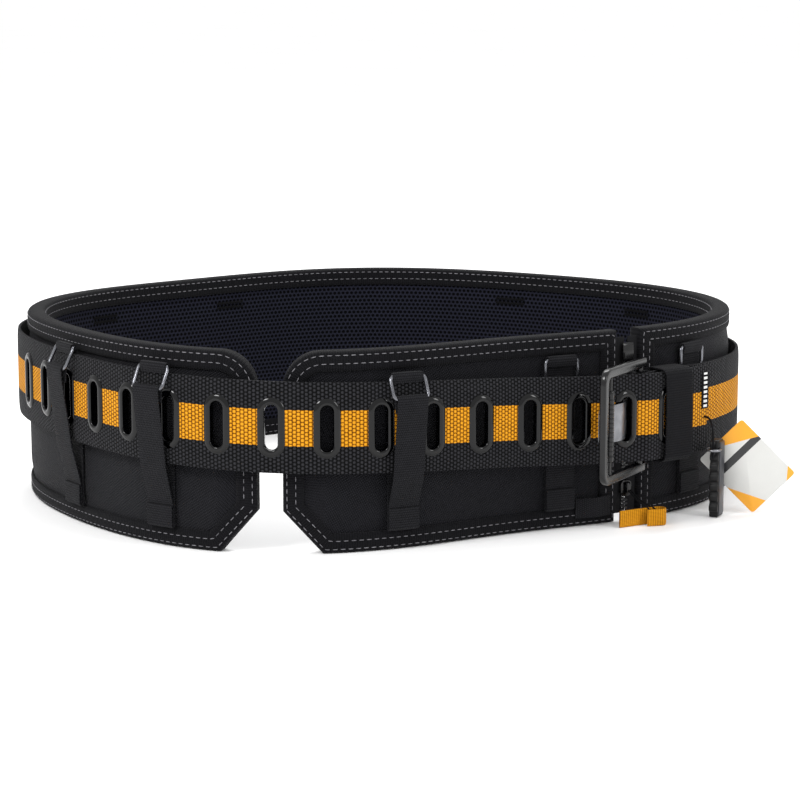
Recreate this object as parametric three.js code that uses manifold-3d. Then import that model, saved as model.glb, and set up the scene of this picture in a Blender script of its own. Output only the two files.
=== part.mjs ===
// Padded tool belt: a two-panel support pad, a striped webbing belt with slotted grommets,
// a frame buckle with a wide tongue, hanging rings on webbing loops, a separating zipper,
// and a spare clip with its card. Millimetres, +Z up, the pad stands on its lower edge at Z = 0.
import * as THREE from 'three';
import { mergeVertices } from 'three/addons/utils/BufferGeometryUtils.js';
import Module from 'manifold-3d';

const wasm = await Module();
wasm.setup();

// ---- driving dimensions ----
// Middle of the object's box, moved to X = Y = 0 at the end.
const BOX_MIDDLE = [13.78, 9];
const RING_CENTRE = [-3.4, 11.6];
const RING_RADIUS = 219;
// Harmonics of the pad's outline seen from above: waves, share of the radius, crest in degrees.
const RING_WAVES = [[2, 0.08, 49], [3, 0.034, -12], [4, 0.04, -27], [5, 0.012, 158]];
const OPENING_ANGLE = 255;
const PAD_HEIGHT = 127;
const FOAM = [-3.4, 3.8];
const SHELL = [4.1, 5.1];
const MESH = [-5.2, -3.7];
const BINDING = { reach: 12.5, outer: 6.4, leaf: 0.75, edge: 0.9 };
const EDGE_GAP = 1.9;
const FLAP = { radius: 24, chamfer: [24, 27] };
const COLUMN_STEP = 28;
const FLAP_EDGES = [6, -9.4];
const ZIP_S = 248;
const ZIP_HALF_GAP = 9;

const WEB = { width: 57, thick: 3, offset: 12, height: 78, tilt: 8, highAngle: 190 };
const GROMMET = { pitch: 34, count: 16, height: 37.5, width: 17, bore: 8.2, wall: 0.9, flange: 1.1 };
const TONGUE_HOLE_S = 230.8;
const HINGE = { s: 246, offset: 20.4, bar: 2.4 };
const TAIL_END_S = 303;
const FOLD_END_S = 288;

const BUCKLE = { inner: 62, band: 6.5, thick: 4.5, length: 58.5, tilt: 29, corner: 9 };
const ROLLER = { distance: 46, radius: 2.6, length: 46, axle: 1.3 };
const TONGUE = { height: 24, thick: 1.6, collar: 1.5 };

const STRAP = { width: 20.6, thick: 1.2 };
const RING = { wire: 2.4, width: 26, reach: 15.2 };
// Positions of the hanging loops along the pad; a tucked loop lies under the belt.
const LOOPS = [
  { s: -162 }, { s: -72 }, { s: 79 }, { s: 195, tucked: true }, { s: 301, tucked: true },
  { s: 526 }, { s: 644 }, { s: 887 }, { s: 1006 },
];

const BLACK = 0x17171a;
const colours = {
  nylon: [BLACK, 0.8, 0], foam: [0x2a2a2e, 0.95, 0], mesh: [0x14141c, 0.9, 0],
  binding: [0x141416, 0.8, 0], web: [0x1b1b1d, 0.85, 0], grommet: [0x0b0b0c, 0.2, 0.9],
  steel: [0x1a1b1e, 0.35, 0.9], gunmetal: [0x5b5c60, 0.35, 0.95], amber: [0xe8a51c, 0.8, 0],
  card: [0xf2f2f0, 0.5, 0], plastic: [0x3a3a3e, 0.45, 0], cord: [0x101012, 0.8, 0],
};

// ---- the pad's outline, measured along its middle line from the front opening ----
const radians = THREE.MathUtils.degToRad;
const SAMPLES = 2880;

function outlineAt(angle) {
  let radius = RING_RADIUS;
  for (const [waves, share, crest] of RING_WAVES) {
    radius += RING_RADIUS * share * Math.cos(waves * angle - radians(crest));
  }
  return new THREE.Vector2(
    RING_CENTRE[0] + radius * Math.cos(angle), RING_CENTRE[1] + radius * Math.sin(angle));
}

const outline = [];
const distance = [0];
for (let i = 0; i <= SAMPLES; i++) {
  outline.push(outlineAt(radians(OPENING_ANGLE) + 2 * Math.PI * i / SAMPLES));
  if (i) distance.push(distance[i - 1] + outline[i].distanceTo(outline[i - 1]));
}
const LENGTH = distance[SAMPLES];

// Point, unit tangent and unit outward normal of the outline at arc length s.
function along(s) {
  const want = ((s % LENGTH) + LENGTH) % LENGTH;
  let low = 0;
  let high = SAMPLES;
  while (high - low > 1) {
    const middle = (low + high) >> 1;
    if (distance[middle] <= want) low = middle;
    else high = middle;
  }
  const share = (want - distance[low]) / (distance[low + 1] - distance[low]);
  const point = outline[low].clone().lerp(outline[low + 1], share);
  const before = outline[(low + SAMPLES - 2) % SAMPLES];
  const after = outline[(low + 3) % SAMPLES];
  const tangent = after.clone().sub(before).normalize();
  return { point, tangent, normal: new THREE.Vector2(tangent.y, -tangent.x) };
}

function place(s, offset, z) {
  const { point, normal } = along(s);
  return new THREE.Vector3(point.x + normal.x * offset, point.y + normal.y * offset, z);
}

// Matrix of a flat local frame on the ring: x back along the tangent, y outwards, z up.
function localFrame(s, offset, z, turn = 0) {
  const { tangent, normal } = along(s);
  const matrix = new THREE.Matrix4().makeBasis(
    new THREE.Vector3(-tangent.x, -tangent.y, 0), new THREE.Vector3(normal.x, normal.y, 0),
    new THREE.Vector3(0, 0, 1));
  matrix.setPosition(place(s, offset, z));
  matrix.multiply(new THREE.Matrix4().makeRotationZ(turn));
  return matrix;
}

// Height of the webbing's middle line: the belt hangs a little lower on the buckle's side.
function webHeight(s) {
  const { point } = along(s);
  const angle = Math.atan2(point.y - RING_CENTRE[1], point.x - RING_CENTRE[0]);
  return WEB.height + WEB.tilt * Math.cos(angle - radians(WEB.highAngle));
}

// Smooth curve through [position, value] rows.
function curveThrough(rows) {
  const slope = rows.map((row, i) => {
    const a = rows[Math.max(i - 1, 0)];
    const b = rows[Math.min(i + 1, rows.length - 1)];
    return (b[1] - a[1]) / (b[0] - a[0]);
  });
  return (x) => {
    if (x <= rows[0][0]) return rows[0][1];
    if (x >= rows[rows.length - 1][0]) return rows[rows.length - 1][1];
    const i = rows.findIndex((row) => row[0] > x) - 1;
    const span = rows[i + 1][0] - rows[i][0];
    const t = (x - rows[i][0]) / span;
    const rise = slope[i] * span;
    const fall = slope[i + 1] * span;
    const [y0, y1] = [rows[i][1], rows[i + 1][1]];
    return y0 + t * (rise + t * (3 * (y1 - y0) - 2 * rise - fall + t * (2 * (y0 - y1) + rise + fall)));
  };
}

// ---- solids ----
const group = new THREE.Group();

function addMesh(name, geometry, finish, matrix) {
  const [color, roughness, metalness] = colours[finish];
  const mesh = new THREE.Mesh(geometry, new THREE.MeshStandardMaterial({ color, roughness, metalness }));
  mesh.name = name;
  if (matrix) mesh.applyMatrix4(matrix);
  group.add(mesh);
  return mesh;
}

function signedVolume(positions, index) {
  let volume = 0;
  for (let i = 0; i < index.length; i += 3) {
    const [a, b, c] = [index[i], index[i + 1], index[i + 2]].map(
      (k) => new THREE.Vector3(positions[3 * k], positions[3 * k + 1], positions[3 * k + 2]));
    volume += a.dot(b.cross(c));
  }
  return volume;
}

// Closed solid through a row of equal sections; a loop has no end caps.
function loft(sections, loop = false) {
  const count = sections[0].length;
  const positions = sections.flat().flatMap((p) => [p.x, p.y, p.z]);
  const index = [];
  const last = loop ? sections.length : sections.length - 1;
  for (let i = 0; i < last; i++) {
    const here = i * count;
    const next = ((i + 1) % sections.length) * count;
    for (let j = 0; j < count; j++) {
      const k = (j + 1) % count;
      index.push(here + j, next + j, next + k, here + j, next + k, here + k);
    }
  }
  if (!loop) {
    const end = (sections.length - 1) * count;
    for (let j = 1; j < count - 1; j++) {
      index.push(0, j, j + 1, end, end + j + 1, end + j);
    }
  }
  if (signedVolume(positions, index) < 0) {
    for (let i = 0; i < index.length; i += 3) [index[i], index[i + 1]] = [index[i + 1], index[i]];
  }
  const geometry = new THREE.BufferGeometry();
  geometry.setAttribute('position', new THREE.Float32BufferAttribute(positions, 3));
  geometry.setIndex(index);
  return geometry;
}

function toManifold(geometry) {
  const bare = geometry.clone();
  bare.deleteAttribute('normal');
  bare.deleteAttribute('uv');
  const merged = mergeVertices(bare, 1e-4);
  return new wasm.Manifold(new wasm.Mesh({
    numProp: 3,
    vertProperties: new Float32Array(merged.attributes.position.array),
    triVerts: new Uint32Array(merged.index.array),
  }));
}

function toGeometry(solid) {
  const mesh = solid.getMesh();
  const geometry = new THREE.BufferGeometry();
  geometry.setAttribute('position', new THREE.Float32BufferAttribute(Array.from(mesh.vertProperties), 3));
  geometry.setIndex(Array.from(mesh.triVerts));
  return geometry;
}

// Extrusion of an outline given as [x, y] points, with optional holes, along +z.
function extrude(points, depth, holes = []) {
  const shape = new THREE.Shape(points.map(([x, y]) => new THREE.Vector2(x, y)));
  for (const hole of holes) {
    shape.holes.push(new THREE.Path(hole.map(([x, y]) => new THREE.Vector2(x, y))));
  }
  return new THREE.ExtrudeGeometry(shape, { depth, bevelEnabled: false });
}

// Rounded rectangle centred on [x, y] as a list of points.
function roundedRectangle(x, y, width, height, radius, steps = 3) {
  const points = [];
  const corners = [[1, 1, 0], [-1, 1, 90], [-1, -1, 180], [1, -1, 270]];
  for (const [sx, sy, start] of corners) {
    for (let i = 0; i <= steps; i++) {
      const angle = radians(start + 90 * i / steps);
      points.push([
        x + sx * (width / 2 - radius) + radius * Math.cos(angle),
        y + sy * (height / 2 - radius) + radius * Math.sin(angle)]);
    }
  }
  return points;
}

// Offsets a polyline of [x, y] points to both sides by half the thickness.
function ribbon(points, thickness) {
  const left = [];
  const right = [];
  points.forEach(([x, y], i) => {
    const before = points[Math.max(i - 1, 0)];
    const after = points[Math.min(i + 1, points.length - 1)];
    const first = new THREE.Vector2(x - before[0], y - before[1]).normalize();
    const second = new THREE.Vector2(after[0] - x, after[1] - y).normalize();
    const direction = first.clone().add(second).normalize();
    const bend = i && i < points.length - 1 ? direction.dot(second) : 1;
    const half = thickness / 2 / Math.max(bend, 0.5);
    left.push([x - direction.y * half, y + direction.x * half]);
    right.unshift([x + direction.y * half, y - direction.x * half]);
  });
  return left.concat(right);
}

// ---- padded panels ----
function steps(from, to, step) {
  const count = Math.max(1, Math.ceil((to - from) / step));
  return Array.from({ length: count + 1 }, (_, i) => from + (to - from) * i / count);
}

// Lower and upper edge of a layer at distance e from a rounded flap's end.
function flapEdges(e) {
  const { radius, chamfer: [run, rise] } = FLAP;
  const inner = radius - EDGE_GAP;
  const high = e < radius
    ? PAD_HEIGHT - radius + Math.sqrt(Math.max(inner ** 2 - (radius - e) ** 2, 0))
    : PAD_HEIGHT - EDGE_GAP;
  const slant = rise - rise / run * e + EDGE_GAP * Math.hypot(1, rise / run);
  return [Math.max(slant, EDGE_GAP), high];
}

// Columns of the panel's straight part, going away from the rounded flap's end.
function straightColumns(from, to, flapEnd) {
  return flapEnd === 'start'
    ? steps(from + 52, to - 24, COLUMN_STEP)
    : steps(from + 24, to - 52, COLUMN_STEP).reverse();
}

// One layer of a panel; flapEnd tells which end of the panel is the rounded flap.
function panelLayer(name, from, to, flapEnd, [inner, outer], finish) {
  const [flap, square, sign] = flapEnd === 'start' ? [from, to, 1] : [to, from, -1];
  const columns = [
    ...[0, 1.2, 4, 9, 15, 24].map((e) => flap + sign * (e + EDGE_GAP)),
    ...straightColumns(from, to, flapEnd), square - sign * EDGE_GAP];
  const sections = columns.map((s) => {
    const [low, high] = flapEdges(flapEnd === 'start' ? s - from : to - s);
    return [place(s, inner, low), place(s, outer, low), place(s, outer, high), place(s, inner, high)];
  });
  addMesh(name, loft(sections), finish);
}

// Closed outline of a panel as [s, z] points, counter-clockwise seen from outside.
function panelOutline(from, to, flapEnd) {
  const { radius, chamfer: [run, rise] } = FLAP;
  const [flap, square, sign] = flapEnd === 'start' ? [from, to, 1] : [to, from, -1];
  const corner = [0, 22.5, 45, 67.5, 90].map((angle) => [
    flap + sign * (radius - radius * Math.sin(radians(angle))),
    PAD_HEIGHT - radius + radius * Math.cos(radians(angle))]);
  const inside = straightColumns(from, to, flapEnd);
  const slant = [0, 0.5, 1].map((share) => [flap + sign * run * share, rise * (1 - share)]);
  const bottom = [...slant, ...inside.map((s) => [s, 0]), [square, 0]];
  const top = [[square, PAD_HEIGHT], ...inside.slice().reverse().map((s) => [s, PAD_HEIGHT]), ...corner];
  return [...bottom, ...top];
}

function binding(name, from, to, flapEnd) {
  const { reach, outer, leaf, edge } = BINDING;
  const profile = [
    [0, -outer], [0, outer], [reach, outer], [reach, outer - leaf],
    [edge, outer - leaf], [edge, leaf - outer], [reach, leaf - outer], [reach, -outer]];
  const points = panelOutline(from, to, flapEnd);
  const turn = flapEnd === 'start' ? 1 : -1;
  const sections = points.map(([s, z], i) => {
    const [s0, z0] = points[(i + points.length - 1) % points.length];
    const [s1, z1] = points[(i + 1) % points.length];
    const into = new THREE.Vector2(z0 - z, s - s0).normalize().multiplyScalar(turn);
    const away = new THREE.Vector2(z - z1, s1 - s).normalize().multiplyScalar(turn);
    const mitre = into.clone().add(away).divideScalar(1 + into.dot(away));
    return profile.map(([d, offset]) => place(s + mitre.x * d, offset, z + mitre.y * d));
  });
  addMesh(name, loft(sections, true), 'binding');
}

function panel(prefix, from, to, flapEnd) {
  panelLayer(`${prefix}_shell`, from, to, flapEnd, SHELL, 'nylon');
  panelLayer(`${prefix}_foam`, from, to, flapEnd, FOAM, 'foam');
  panelLayer(`${prefix}_mesh`, from, to, flapEnd, MESH, 'mesh');
  binding(`${prefix}_binding`, from, to, flapEnd);
}

panel('front', FLAP_EDGES[0], ZIP_S - ZIP_HALF_GAP, 'start');
panel('wrap', ZIP_S + ZIP_HALF_GAP, LENGTH + FLAP_EDGES[1], 'end');

// ---- the separating zipper between the panels ----
const ZIP = { low: 6, high: 121, offset: 2, tape: 0.9, teeth: 3, teethThick: 2.6 };

function zipperSide(name, side) {
  const { low, high, offset, tape, teeth, teethThick } = ZIP;
  const half = ZIP_HALF_GAP - 0.4;
  const from = 0.2;
  const profile = [
    [from, -teethThick / 2], [teeth, -teethThick / 2], [teeth, -tape / 2], [half, -tape / 2],
    [half, tape / 2], [teeth, tape / 2], [teeth, teethThick / 2], [from, teethThick / 2]];
  const section = profile.map(([x, y]) => [side * x, y]);
  const geometry = extrude(section, high - low);
  addMesh(name, geometry, 'binding', localFrame(ZIP_S, offset, low));
}

zipperSide('zip_tape_front', 1);
zipperSide('zip_tape_wrap', -1);

const ZIP_SLIDER = { z: 16, height: 11, width: 9, thick: 1.4, lift: 0.5 };
const zipFace = ZIP.offset + ZIP.teethThick / 2 + ZIP_SLIDER.lift;

// Slider: a top and a bottom plate joined by a bridge above the closed teeth.
function zipSlider() {
  const { height, width, thick, z, lift } = ZIP_SLIDER;
  const inside = ZIP.teethThick / 2 + lift;
  const plate = roundedRectangle(0, 0, width, height, 2.5);
  const solid = [[inside, thick], [-inside - thick, thick]].map(([y, depth]) => {
    const one = extrude(plate, depth);
    one.rotateX(-Math.PI / 2);
    one.translate(0, y, z + height / 2);
    return toManifold(one);
  }).reduce((a, b) => a.add(b));
  const cheeks = [-1, 1].map((side) => {
    const cheek = new THREE.BoxGeometry(1, 2 * (inside + thick) - 0.4, height - 5.4);
    cheek.translate(side * (width / 2 - 0.5), 0, z + height / 2);
    return toManifold(cheek);
  });
  const tapeSlot = new THREE.BoxGeometry(2 * width, ZIP.tape + 0.8, height + 2);
  tapeSlot.translate(0, 0, z + height / 2);
  const bridge = new THREE.BoxGeometry(0.36, 2 * inside + 1, 2);
  bridge.translate(0, 0, z + 1.4);
  const body = solid.add(cheeks[0]).add(cheeks[1]).subtract(toManifold(tapeSlot)).add(toManifold(bridge));
  addMesh('zip_slider', toGeometry(body), 'steel', localFrame(ZIP_S, ZIP.offset, 0));
}

zipSlider();

// Top stop: a small metal clip over the upper end of the teeth.
const stopTop = new THREE.BoxGeometry(9, 2.2, 12);
addMesh('zip_stop', stopTop, 'gunmetal', localFrame(ZIP_S, ZIP.offset + ZIP.teethThick / 2 + 1.5, 112));

// Closed tube of a round section along a smooth path.
function cordTube(points, diameter, sides, stepCount) {
  const curve = new THREE.CatmullRomCurve3(points);
  const section = new THREE.Shape(Array.from({ length: sides }, (_, i) => new THREE.Vector2(
    diameter / 2 * Math.cos(2 * Math.PI * i / sides), diameter / 2 * Math.sin(2 * Math.PI * i / sides))));
  return new THREE.ExtrudeGeometry(section, { steps: stepCount, extrudePath: curve, bevelEnabled: false });
}

// Pull cord from the slider down and out to the amber tab on the ground: [back, outwards, up].
const ZIP_CORD = 2.2;
const ZIP_CORD_ROUTE = [
  [0, 6.9, 17], [-0.6, 9.4, 16.6], [-1.8, 13, 16.2], [-3.4, 17, 15.4],
  [-5.2, 20.8, 14.2], [-7, 23.8, 11.8], [-8.5, 25.6, 8.6], [-9.6, 26.4, 5.2]];
const zipPlace = ([x, y, z]) => new THREE.Vector3(x, y, z).applyMatrix4(localFrame(ZIP_S, 0, 0));
addMesh('zip_cord', cordTube(ZIP_CORD_ROUTE.map(zipPlace), ZIP_CORD, 8, 18), 'cord');

// Folded tab: a ribbon of tape doubled over the cord's end, lying on its edge.
const PULL = { width: 11, thick: 1.3, length: 27 };
const pullPath = [[PULL.length, 0], [14, 0.3], [2, 1.0]];
for (let i = 0; i <= 6; i++) {
  const angle = radians(-90 + 30 * i);
  pullPath.push([-1.5 - 4 * Math.cos(angle), 5.2 + 4 * Math.sin(angle)]);
}
pullPath.push([2, 8.6], [9, 6.2]);
const pullFrame = localFrame(ZIP_S, 21.2, 0.1).multiply(new THREE.Matrix4().makeTranslation(-9.6, 0, 0));
addMesh('zip_pull', extrude(ribbon(pullPath, PULL.thick), PULL.width), 'amber', pullFrame);

// ---- webbing belt ----
const tailOffset = curveThrough([
  [60, WEB.offset], [95, 14.5], [145, 19.5], [190, 24.6], [216, 26.6], [222, 26.9], [240, 26.9],
  [HINGE.s, 28.3], [258, 26.4], [272, 23.8], [TAIL_END_S, 20.8]]);
const mainOffset = curveThrough([[HINGE.s, 16.2], [272, 14.4], [295, 13.8], [335, WEB.offset]]);

// Offset of the webbing, whose own length runs from the buckle, round the back, to the tail's end.
const webOffset = (u) => (u < LENGTH / 2 ? mainOffset(u) : tailOffset(u - LENGTH));

function webPoint(u) {
  const place2 = place(u, webOffset(u), 0);
  return new THREE.Vector2(place2.x, place2.y);
}

// Grommets sit an even pitch apart, measured along the webbing from the tongue's hole.
function walk(from, direction, reach) {
  let u = from;
  const start = webPoint(from);
  while (webPoint(u).distanceTo(start) < reach) u += direction * 0.05;
  return u;
}
const holes = [LENGTH + TONGUE_HOLE_S];
while (holes.length < GROMMET.count - 1) holes.unshift(walk(holes[0], -1, GROMMET.pitch));
holes.push(walk(holes[holes.length - 1], 1, GROMMET.pitch));

const FLAT_HALF = GROMMET.width / 2 + 1;
function webColumns() {
  const stops = [HINGE.s + 7.6];
  const marks = [];
  for (const hole of holes) marks.push(hole - FLAT_HALF, hole + FLAT_HALF);
  for (const s of [272, 290, 320]) stops.push(s);
  stops.push(...steps(342, marks[0] - 14, COLUMN_STEP), ...marks, LENGTH + TAIL_END_S - 6);
  stops.push(LENGTH + TAIL_END_S, LENGTH + HINGE.s - 1, LENGTH + HINGE.s + 4);
  return stops.sort((a, b) => a - b);
}

function webSection(u, offset) {
  const z = webHeight(u);
  const half = WEB.width / 2;
  return [
    place(u, offset - WEB.thick / 2, z - half), place(u, offset + WEB.thick / 2, z - half),
    place(u, offset + WEB.thick / 2, z + half), place(u, offset - WEB.thick / 2, z + half)];
}

// Frame of a grommet: on the flat stretch of webbing between its two columns.
function holeFrame(u) {
  const a = webPoint(u - FLAT_HALF);
  const b = webPoint(u + FLAT_HALF);
  const back = a.clone().sub(b).normalize();
  const matrix = new THREE.Matrix4().makeBasis(
    new THREE.Vector3(back.x, back.y, 0), new THREE.Vector3(-back.y, back.x, 0),
    new THREE.Vector3(0, 0, 1));
  return matrix.setPosition((a.x + b.x) / 2, (a.y + b.y) / 2, webHeight(u));
}

// Stadium outline with the long way up, as [x, z] points at distance r from its core line.
function stadium(r, arcSteps = 5) {
  const core = (GROMMET.height - GROMMET.width) / 2;
  const points = [];
  for (const [start, z] of [[0, core], [180, -core]]) {
    for (let i = 0; i <= arcSteps; i++) {
      const angle = radians(start + 180 * i / arcSteps);
      points.push([r * Math.cos(angle), z + r * Math.sin(angle)]);
    }
  }
  return points;
}

function grommetGeometry() {
  const { bore, wall, flange, width } = GROMMET;
  const half = WEB.thick / 2 + 0.35;
  const hole = bore / 2;
  const rim = width / 2;
  const profile = [
    [hole, half + flange], [rim, half + flange], [rim, half], [hole + wall, half],
    [hole + wall, -half], [rim, -half], [rim, -half - flange], [hole, -half - flange]];
  const rings = profile.map(([r]) => stadium(r));
  const sections = rings[0].map((_, i) => profile.map(([, y], j) => new THREE.Vector3(
    rings[j][i][0], y, rings[j][i][1])));
  return loft(sections, true);
}

function webBelt() {
  let solid = toManifold(loft(webColumns().map((u) => webSection(u, webOffset(u)))));
  for (const hole of holes) {
    const slot = extrude(stadium(GROMMET.bore / 2 + GROMMET.wall + 0.3), 3 * WEB.thick);
    slot.rotateX(Math.PI / 2);
    slot.translate(0, 1.5 * WEB.thick, 0);
    slot.applyMatrix4(holeFrame(hole));
    solid = solid.subtract(toManifold(slot));
  }
  addMesh('web_belt', toGeometry(solid), 'web');
  holes.forEach((hole, i) => addMesh(
    `grommet_${String(i + 1).padStart(2, '0')}`, grommetGeometry(), 'grommet', holeFrame(hole)));
}

webBelt();

// ---- buckle ----
const buckleZ = webHeight(HINGE.s);
const hingeFrame = (turn = 0) => localFrame(HINGE.s, HINGE.offset, buckleZ, turn);

// Webbing end folded round the hinge bar and sewn down, with a notch for the tongue.
function buckleFold() {
  const mid = HINGE.bar + 0.3 + WEB.thick / 2;
  const path = [[-7.2, -mid]];
  for (let i = 0; i <= 6; i++) {
    const angle = radians(-90 + 30 * i);
    path.push([mid * Math.cos(angle), mid * Math.sin(angle)]);
  }
  const flapRows = [[-10, 0.6], [-19, -2.9], [-30, -4.5], [HINGE.s - FOLD_END_S, -6.9]];
  path.push(...flapRows);
  const fold = extrude(ribbon(path, WEB.thick - 0.1), WEB.width);
  fold.translate(0, 0, -WEB.width / 2);
  const notch = new THREE.BoxGeometry(16, 30, TONGUE.height + 3);
  notch.translate(3, 0, 0);
  const solid = toManifold(fold).subtract(toManifold(notch));
  addMesh('buckle_fold', toGeometry(solid), 'web', hingeFrame());
}

buckleFold();

// Frame: flat bent bar with a round hinge bar at x = 0 and the front bar at x = length.
function buckleFrame() {
  const { inner, band, thick, length, corner } = BUCKLE;
  const outerSize = inner + 2 * band;
  const middle = (length - band) / 2;
  const loop = extrude(
    roundedRectangle(middle, 0, length + band, outerSize, corner), thick,
    [roundedRectangle(middle, 0, length - band, inner, corner - band + 1.5)]);
  loop.translate(0, 0, -thick / 2);
  loop.rotateX(Math.PI / 2);
  const gap = new THREE.BoxGeometry(2 * band, 3 * thick, inner - 1);
  const bar = new THREE.CylinderGeometry(HINGE.bar, HINGE.bar, inner + 2, 14);
  bar.rotateX(Math.PI / 2);
  const axle = new THREE.CylinderGeometry(ROLLER.axle, ROLLER.axle, inner + 2, 10);
  axle.rotateX(Math.PI / 2);
  axle.translate(ROLLER.distance, 0, 0);
  const solid = toManifold(loop).subtract(toManifold(gap)).add(toManifold(bar)).add(toManifold(axle));
  addMesh('buckle_frame', toGeometry(solid), 'steel', hingeFrame(radians(BUCKLE.tilt)));
}

buckleFrame();

function circle(radius, count) {
  return Array.from({ length: count }, (_, i) => [
    radius * Math.cos(2 * Math.PI * i / count), radius * Math.sin(2 * Math.PI * i / count)]);
}

const roller = extrude(circle(ROLLER.radius, 16), ROLLER.length, [circle(ROLLER.axle + 0.35, 16)]);
roller.translate(ROLLER.distance, 0, -ROLLER.length / 2);
addMesh('buckle_roller', roller, 'steel', hingeFrame(radians(BUCKLE.tilt)));

// Tongue: a collar on the hinge bar and a bent plate that rises through the slot.
function buckleTongue() {
  const collarIn = HINGE.bar + 0.35;
  const collarOut = collarIn + TONGUE.collar;
  const collar = extrude(circle(collarOut, 18), TONGUE.height, [circle(collarIn, 18)]);
  const plate = extrude(
    ribbon([[3.4, 0], [11.4, 0.2], [21.6, 11.8], [47, 20.2]], TONGUE.thick), TONGUE.height);
  const solid = toManifold(collar).add(toManifold(plate));
  const geometry = toGeometry(solid);
  geometry.translate(0, 0, -TONGUE.height / 2);
  addMesh('buckle_tongue', geometry, 'gunmetal', hingeFrame());
}

buckleTongue();

// ---- keeper band round the layered webbing ----
const KEEPER = { s: 268.5, width: 23, thick: 1.4, low: 9.6, high: 31.6 };
function keeper() {
  const depth = KEEPER.high - KEEPER.low;
  const height = WEB.width + 5;
  const band = extrude(
    roundedRectangle(0, 0, depth, height, 3), KEEPER.width,
    [roundedRectangle(0, 0, depth - 2 * KEEPER.thick, height - 2 * KEEPER.thick + 0.6, 2)]);
  band.translate(0, 0, -KEEPER.width / 2);
  band.applyMatrix4(new THREE.Matrix4().makeBasis(
    new THREE.Vector3(0, 1, 0), new THREE.Vector3(0, 0, 1), new THREE.Vector3(1, 0, 0)));
  const middle = (KEEPER.low + KEEPER.high) / 2;
  addMesh('keeper', band, 'web', localFrame(KEEPER.s, middle, webHeight(KEEPER.s)));
}

keeper();

// Woven label sewn on the tail's end.
const label = new THREE.BoxGeometry(7, 0.5, 24);
const LABEL_S = TAIL_END_S - 5;
addMesh('tail_label', label, 'card',
  localFrame(LABEL_S, tailOffset(LABEL_S) + WEB.thick / 2 + 0.7, webHeight(LABEL_S) + 12));

// ---- hanging loops: a wire ring and its webbing, front layer and back layer in one ----
function wireRing(width, height, wire, sides = 6) {
  const radius = 3;
  const path = roundedRectangle(0, 0, width - wire, height - wire, radius, 2);
  const sections = path.map(([x, z], i) => {
    const [x0, z0] = path[(i + path.length - 1) % path.length];
    const [x1, z1] = path[(i + 1) % path.length];
    const tangent = new THREE.Vector2(x1 - x0, z1 - z0).normalize();
    return Array.from({ length: sides }, (_, j) => {
      const angle = 2 * Math.PI * (j + 0.5) / sides;
      const out = wire / 2 * Math.cos(angle);
      return new THREE.Vector3(x + tangent.y * out, wire / 2 * Math.sin(angle), z - tangent.x * out);
    });
  });
  return loft(sections, true);
}

function hangingLoop(number, { s, tucked = false }) {
  const beltTop = webHeight(s) + WEB.width / 2;
  const beltLow = webHeight(s) - WEB.width / 2;
  const beltOffset = s < HINGE.s ? tailOffset(s) : WEB.offset;
  const top = tucked ? [9.2, 112] : [beltOffset + 1.2, beltTop + 4];
  const lean = tucked ? 0 : Math.asin(7 / RING.reach);
  const low = [top[0] + RING.reach * Math.sin(lean), top[1] - RING.reach * Math.cos(lean)];
  const geometry = wireRing(RING.width, RING.reach + RING.wire, RING.wire);
  geometry.translate(0, 0, -RING.reach / 2);
  geometry.rotateX(lean);
  addMesh(`loop_ring_${number}`, geometry, 'steel', localFrame(s, top[0], top[1]));

  const start = RING.wire / 2 + 0.9;
  const hemTop = 26;
  // Points of the webbing's run as [offset, z], from the upper ring bar down the back and up the front.
  const run = tucked
    ? [[7.1, top[1] - 1], [7.1, hemTop], [7.1, 13], [8.5, 13], [8.5, hemTop], [8.7, low[1] - start]]
    : [[top[0] - 1.6, top[1] - start + 0.4], [9.2, top[1] - start - 0.6], [7.6, top[1] - 12], [7.6, hemTop],
      [7.6, 13], [9.0, 13], [9.0, hemTop], [beltOffset + 3.8, beltLow - 3], [beltOffset + 5.2, beltLow + 8],
      [low[0] - 0.4, low[1] - start]];
  const strap = extrude(runOutline(run), STRAP.width);
  strap.translate(0, 0, -STRAP.width / 2);
  strap.applyMatrix4(new THREE.Matrix4().makeBasis(
    new THREE.Vector3(0, 1, 0), new THREE.Vector3(0, 0, 1), new THREE.Vector3(1, 0, 0)));
  addMesh(`loop_strap_${number}`, strap, 'web', localFrame(s, 0, 0));
}

// The sewn foot joins both layers, so the outline is the outer edge of one and of the other.
function runOutline(run) {
  const foot = run.findIndex(([, z]) => z === 13);
  const back = ribbon(run.slice(0, foot + 1), STRAP.thick);
  const front = ribbon(run.slice(foot + 1), STRAP.thick);
  const backCount = foot + 1;
  const frontCount = run.length - foot - 1;
  // Outer face of the back layer, then the outer face of the front layer, then the inner faces.
  const backInner = back.slice(0, backCount);
  const backOuter = back.slice(backCount);
  const frontOuter = front.slice(frontCount);
  const frontInner = front.slice(0, frontCount);
  const padSide = backInner[0][0] < backOuter[backCount - 1][0] ? backInner : backOuter.slice().reverse();
  const beltSide = padSide === backInner ? backOuter.slice().reverse() : backInner;
  const outside = frontOuter[frontCount - 1][0] > frontInner[0][0] ? frontOuter.slice().reverse() : frontInner;
  const inside = outside === frontInner ? frontOuter.slice().reverse() : frontInner;
  return [...padSide, ...outside, ...inside.slice(1).reverse(), ...beltSide.slice(0, -1).reverse()];
}

LOOPS.forEach((loop, i) => hangingLoop(i + 1, loop));

// Small grab loop of ribbed tape at the front panel's lower corner.
const grabPath = [[-13, 6.9], [-9, 8.2], [0, 10.4], [9, 8.2], [13, 6.9]];
const grab = extrude(ribbon(grabPath.map(([x, y]) => [x, y + 0.3]), 1.2), 13);
addMesh('grab_loop', grab, 'web', localFrame(220.5, 0, 6));

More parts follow.
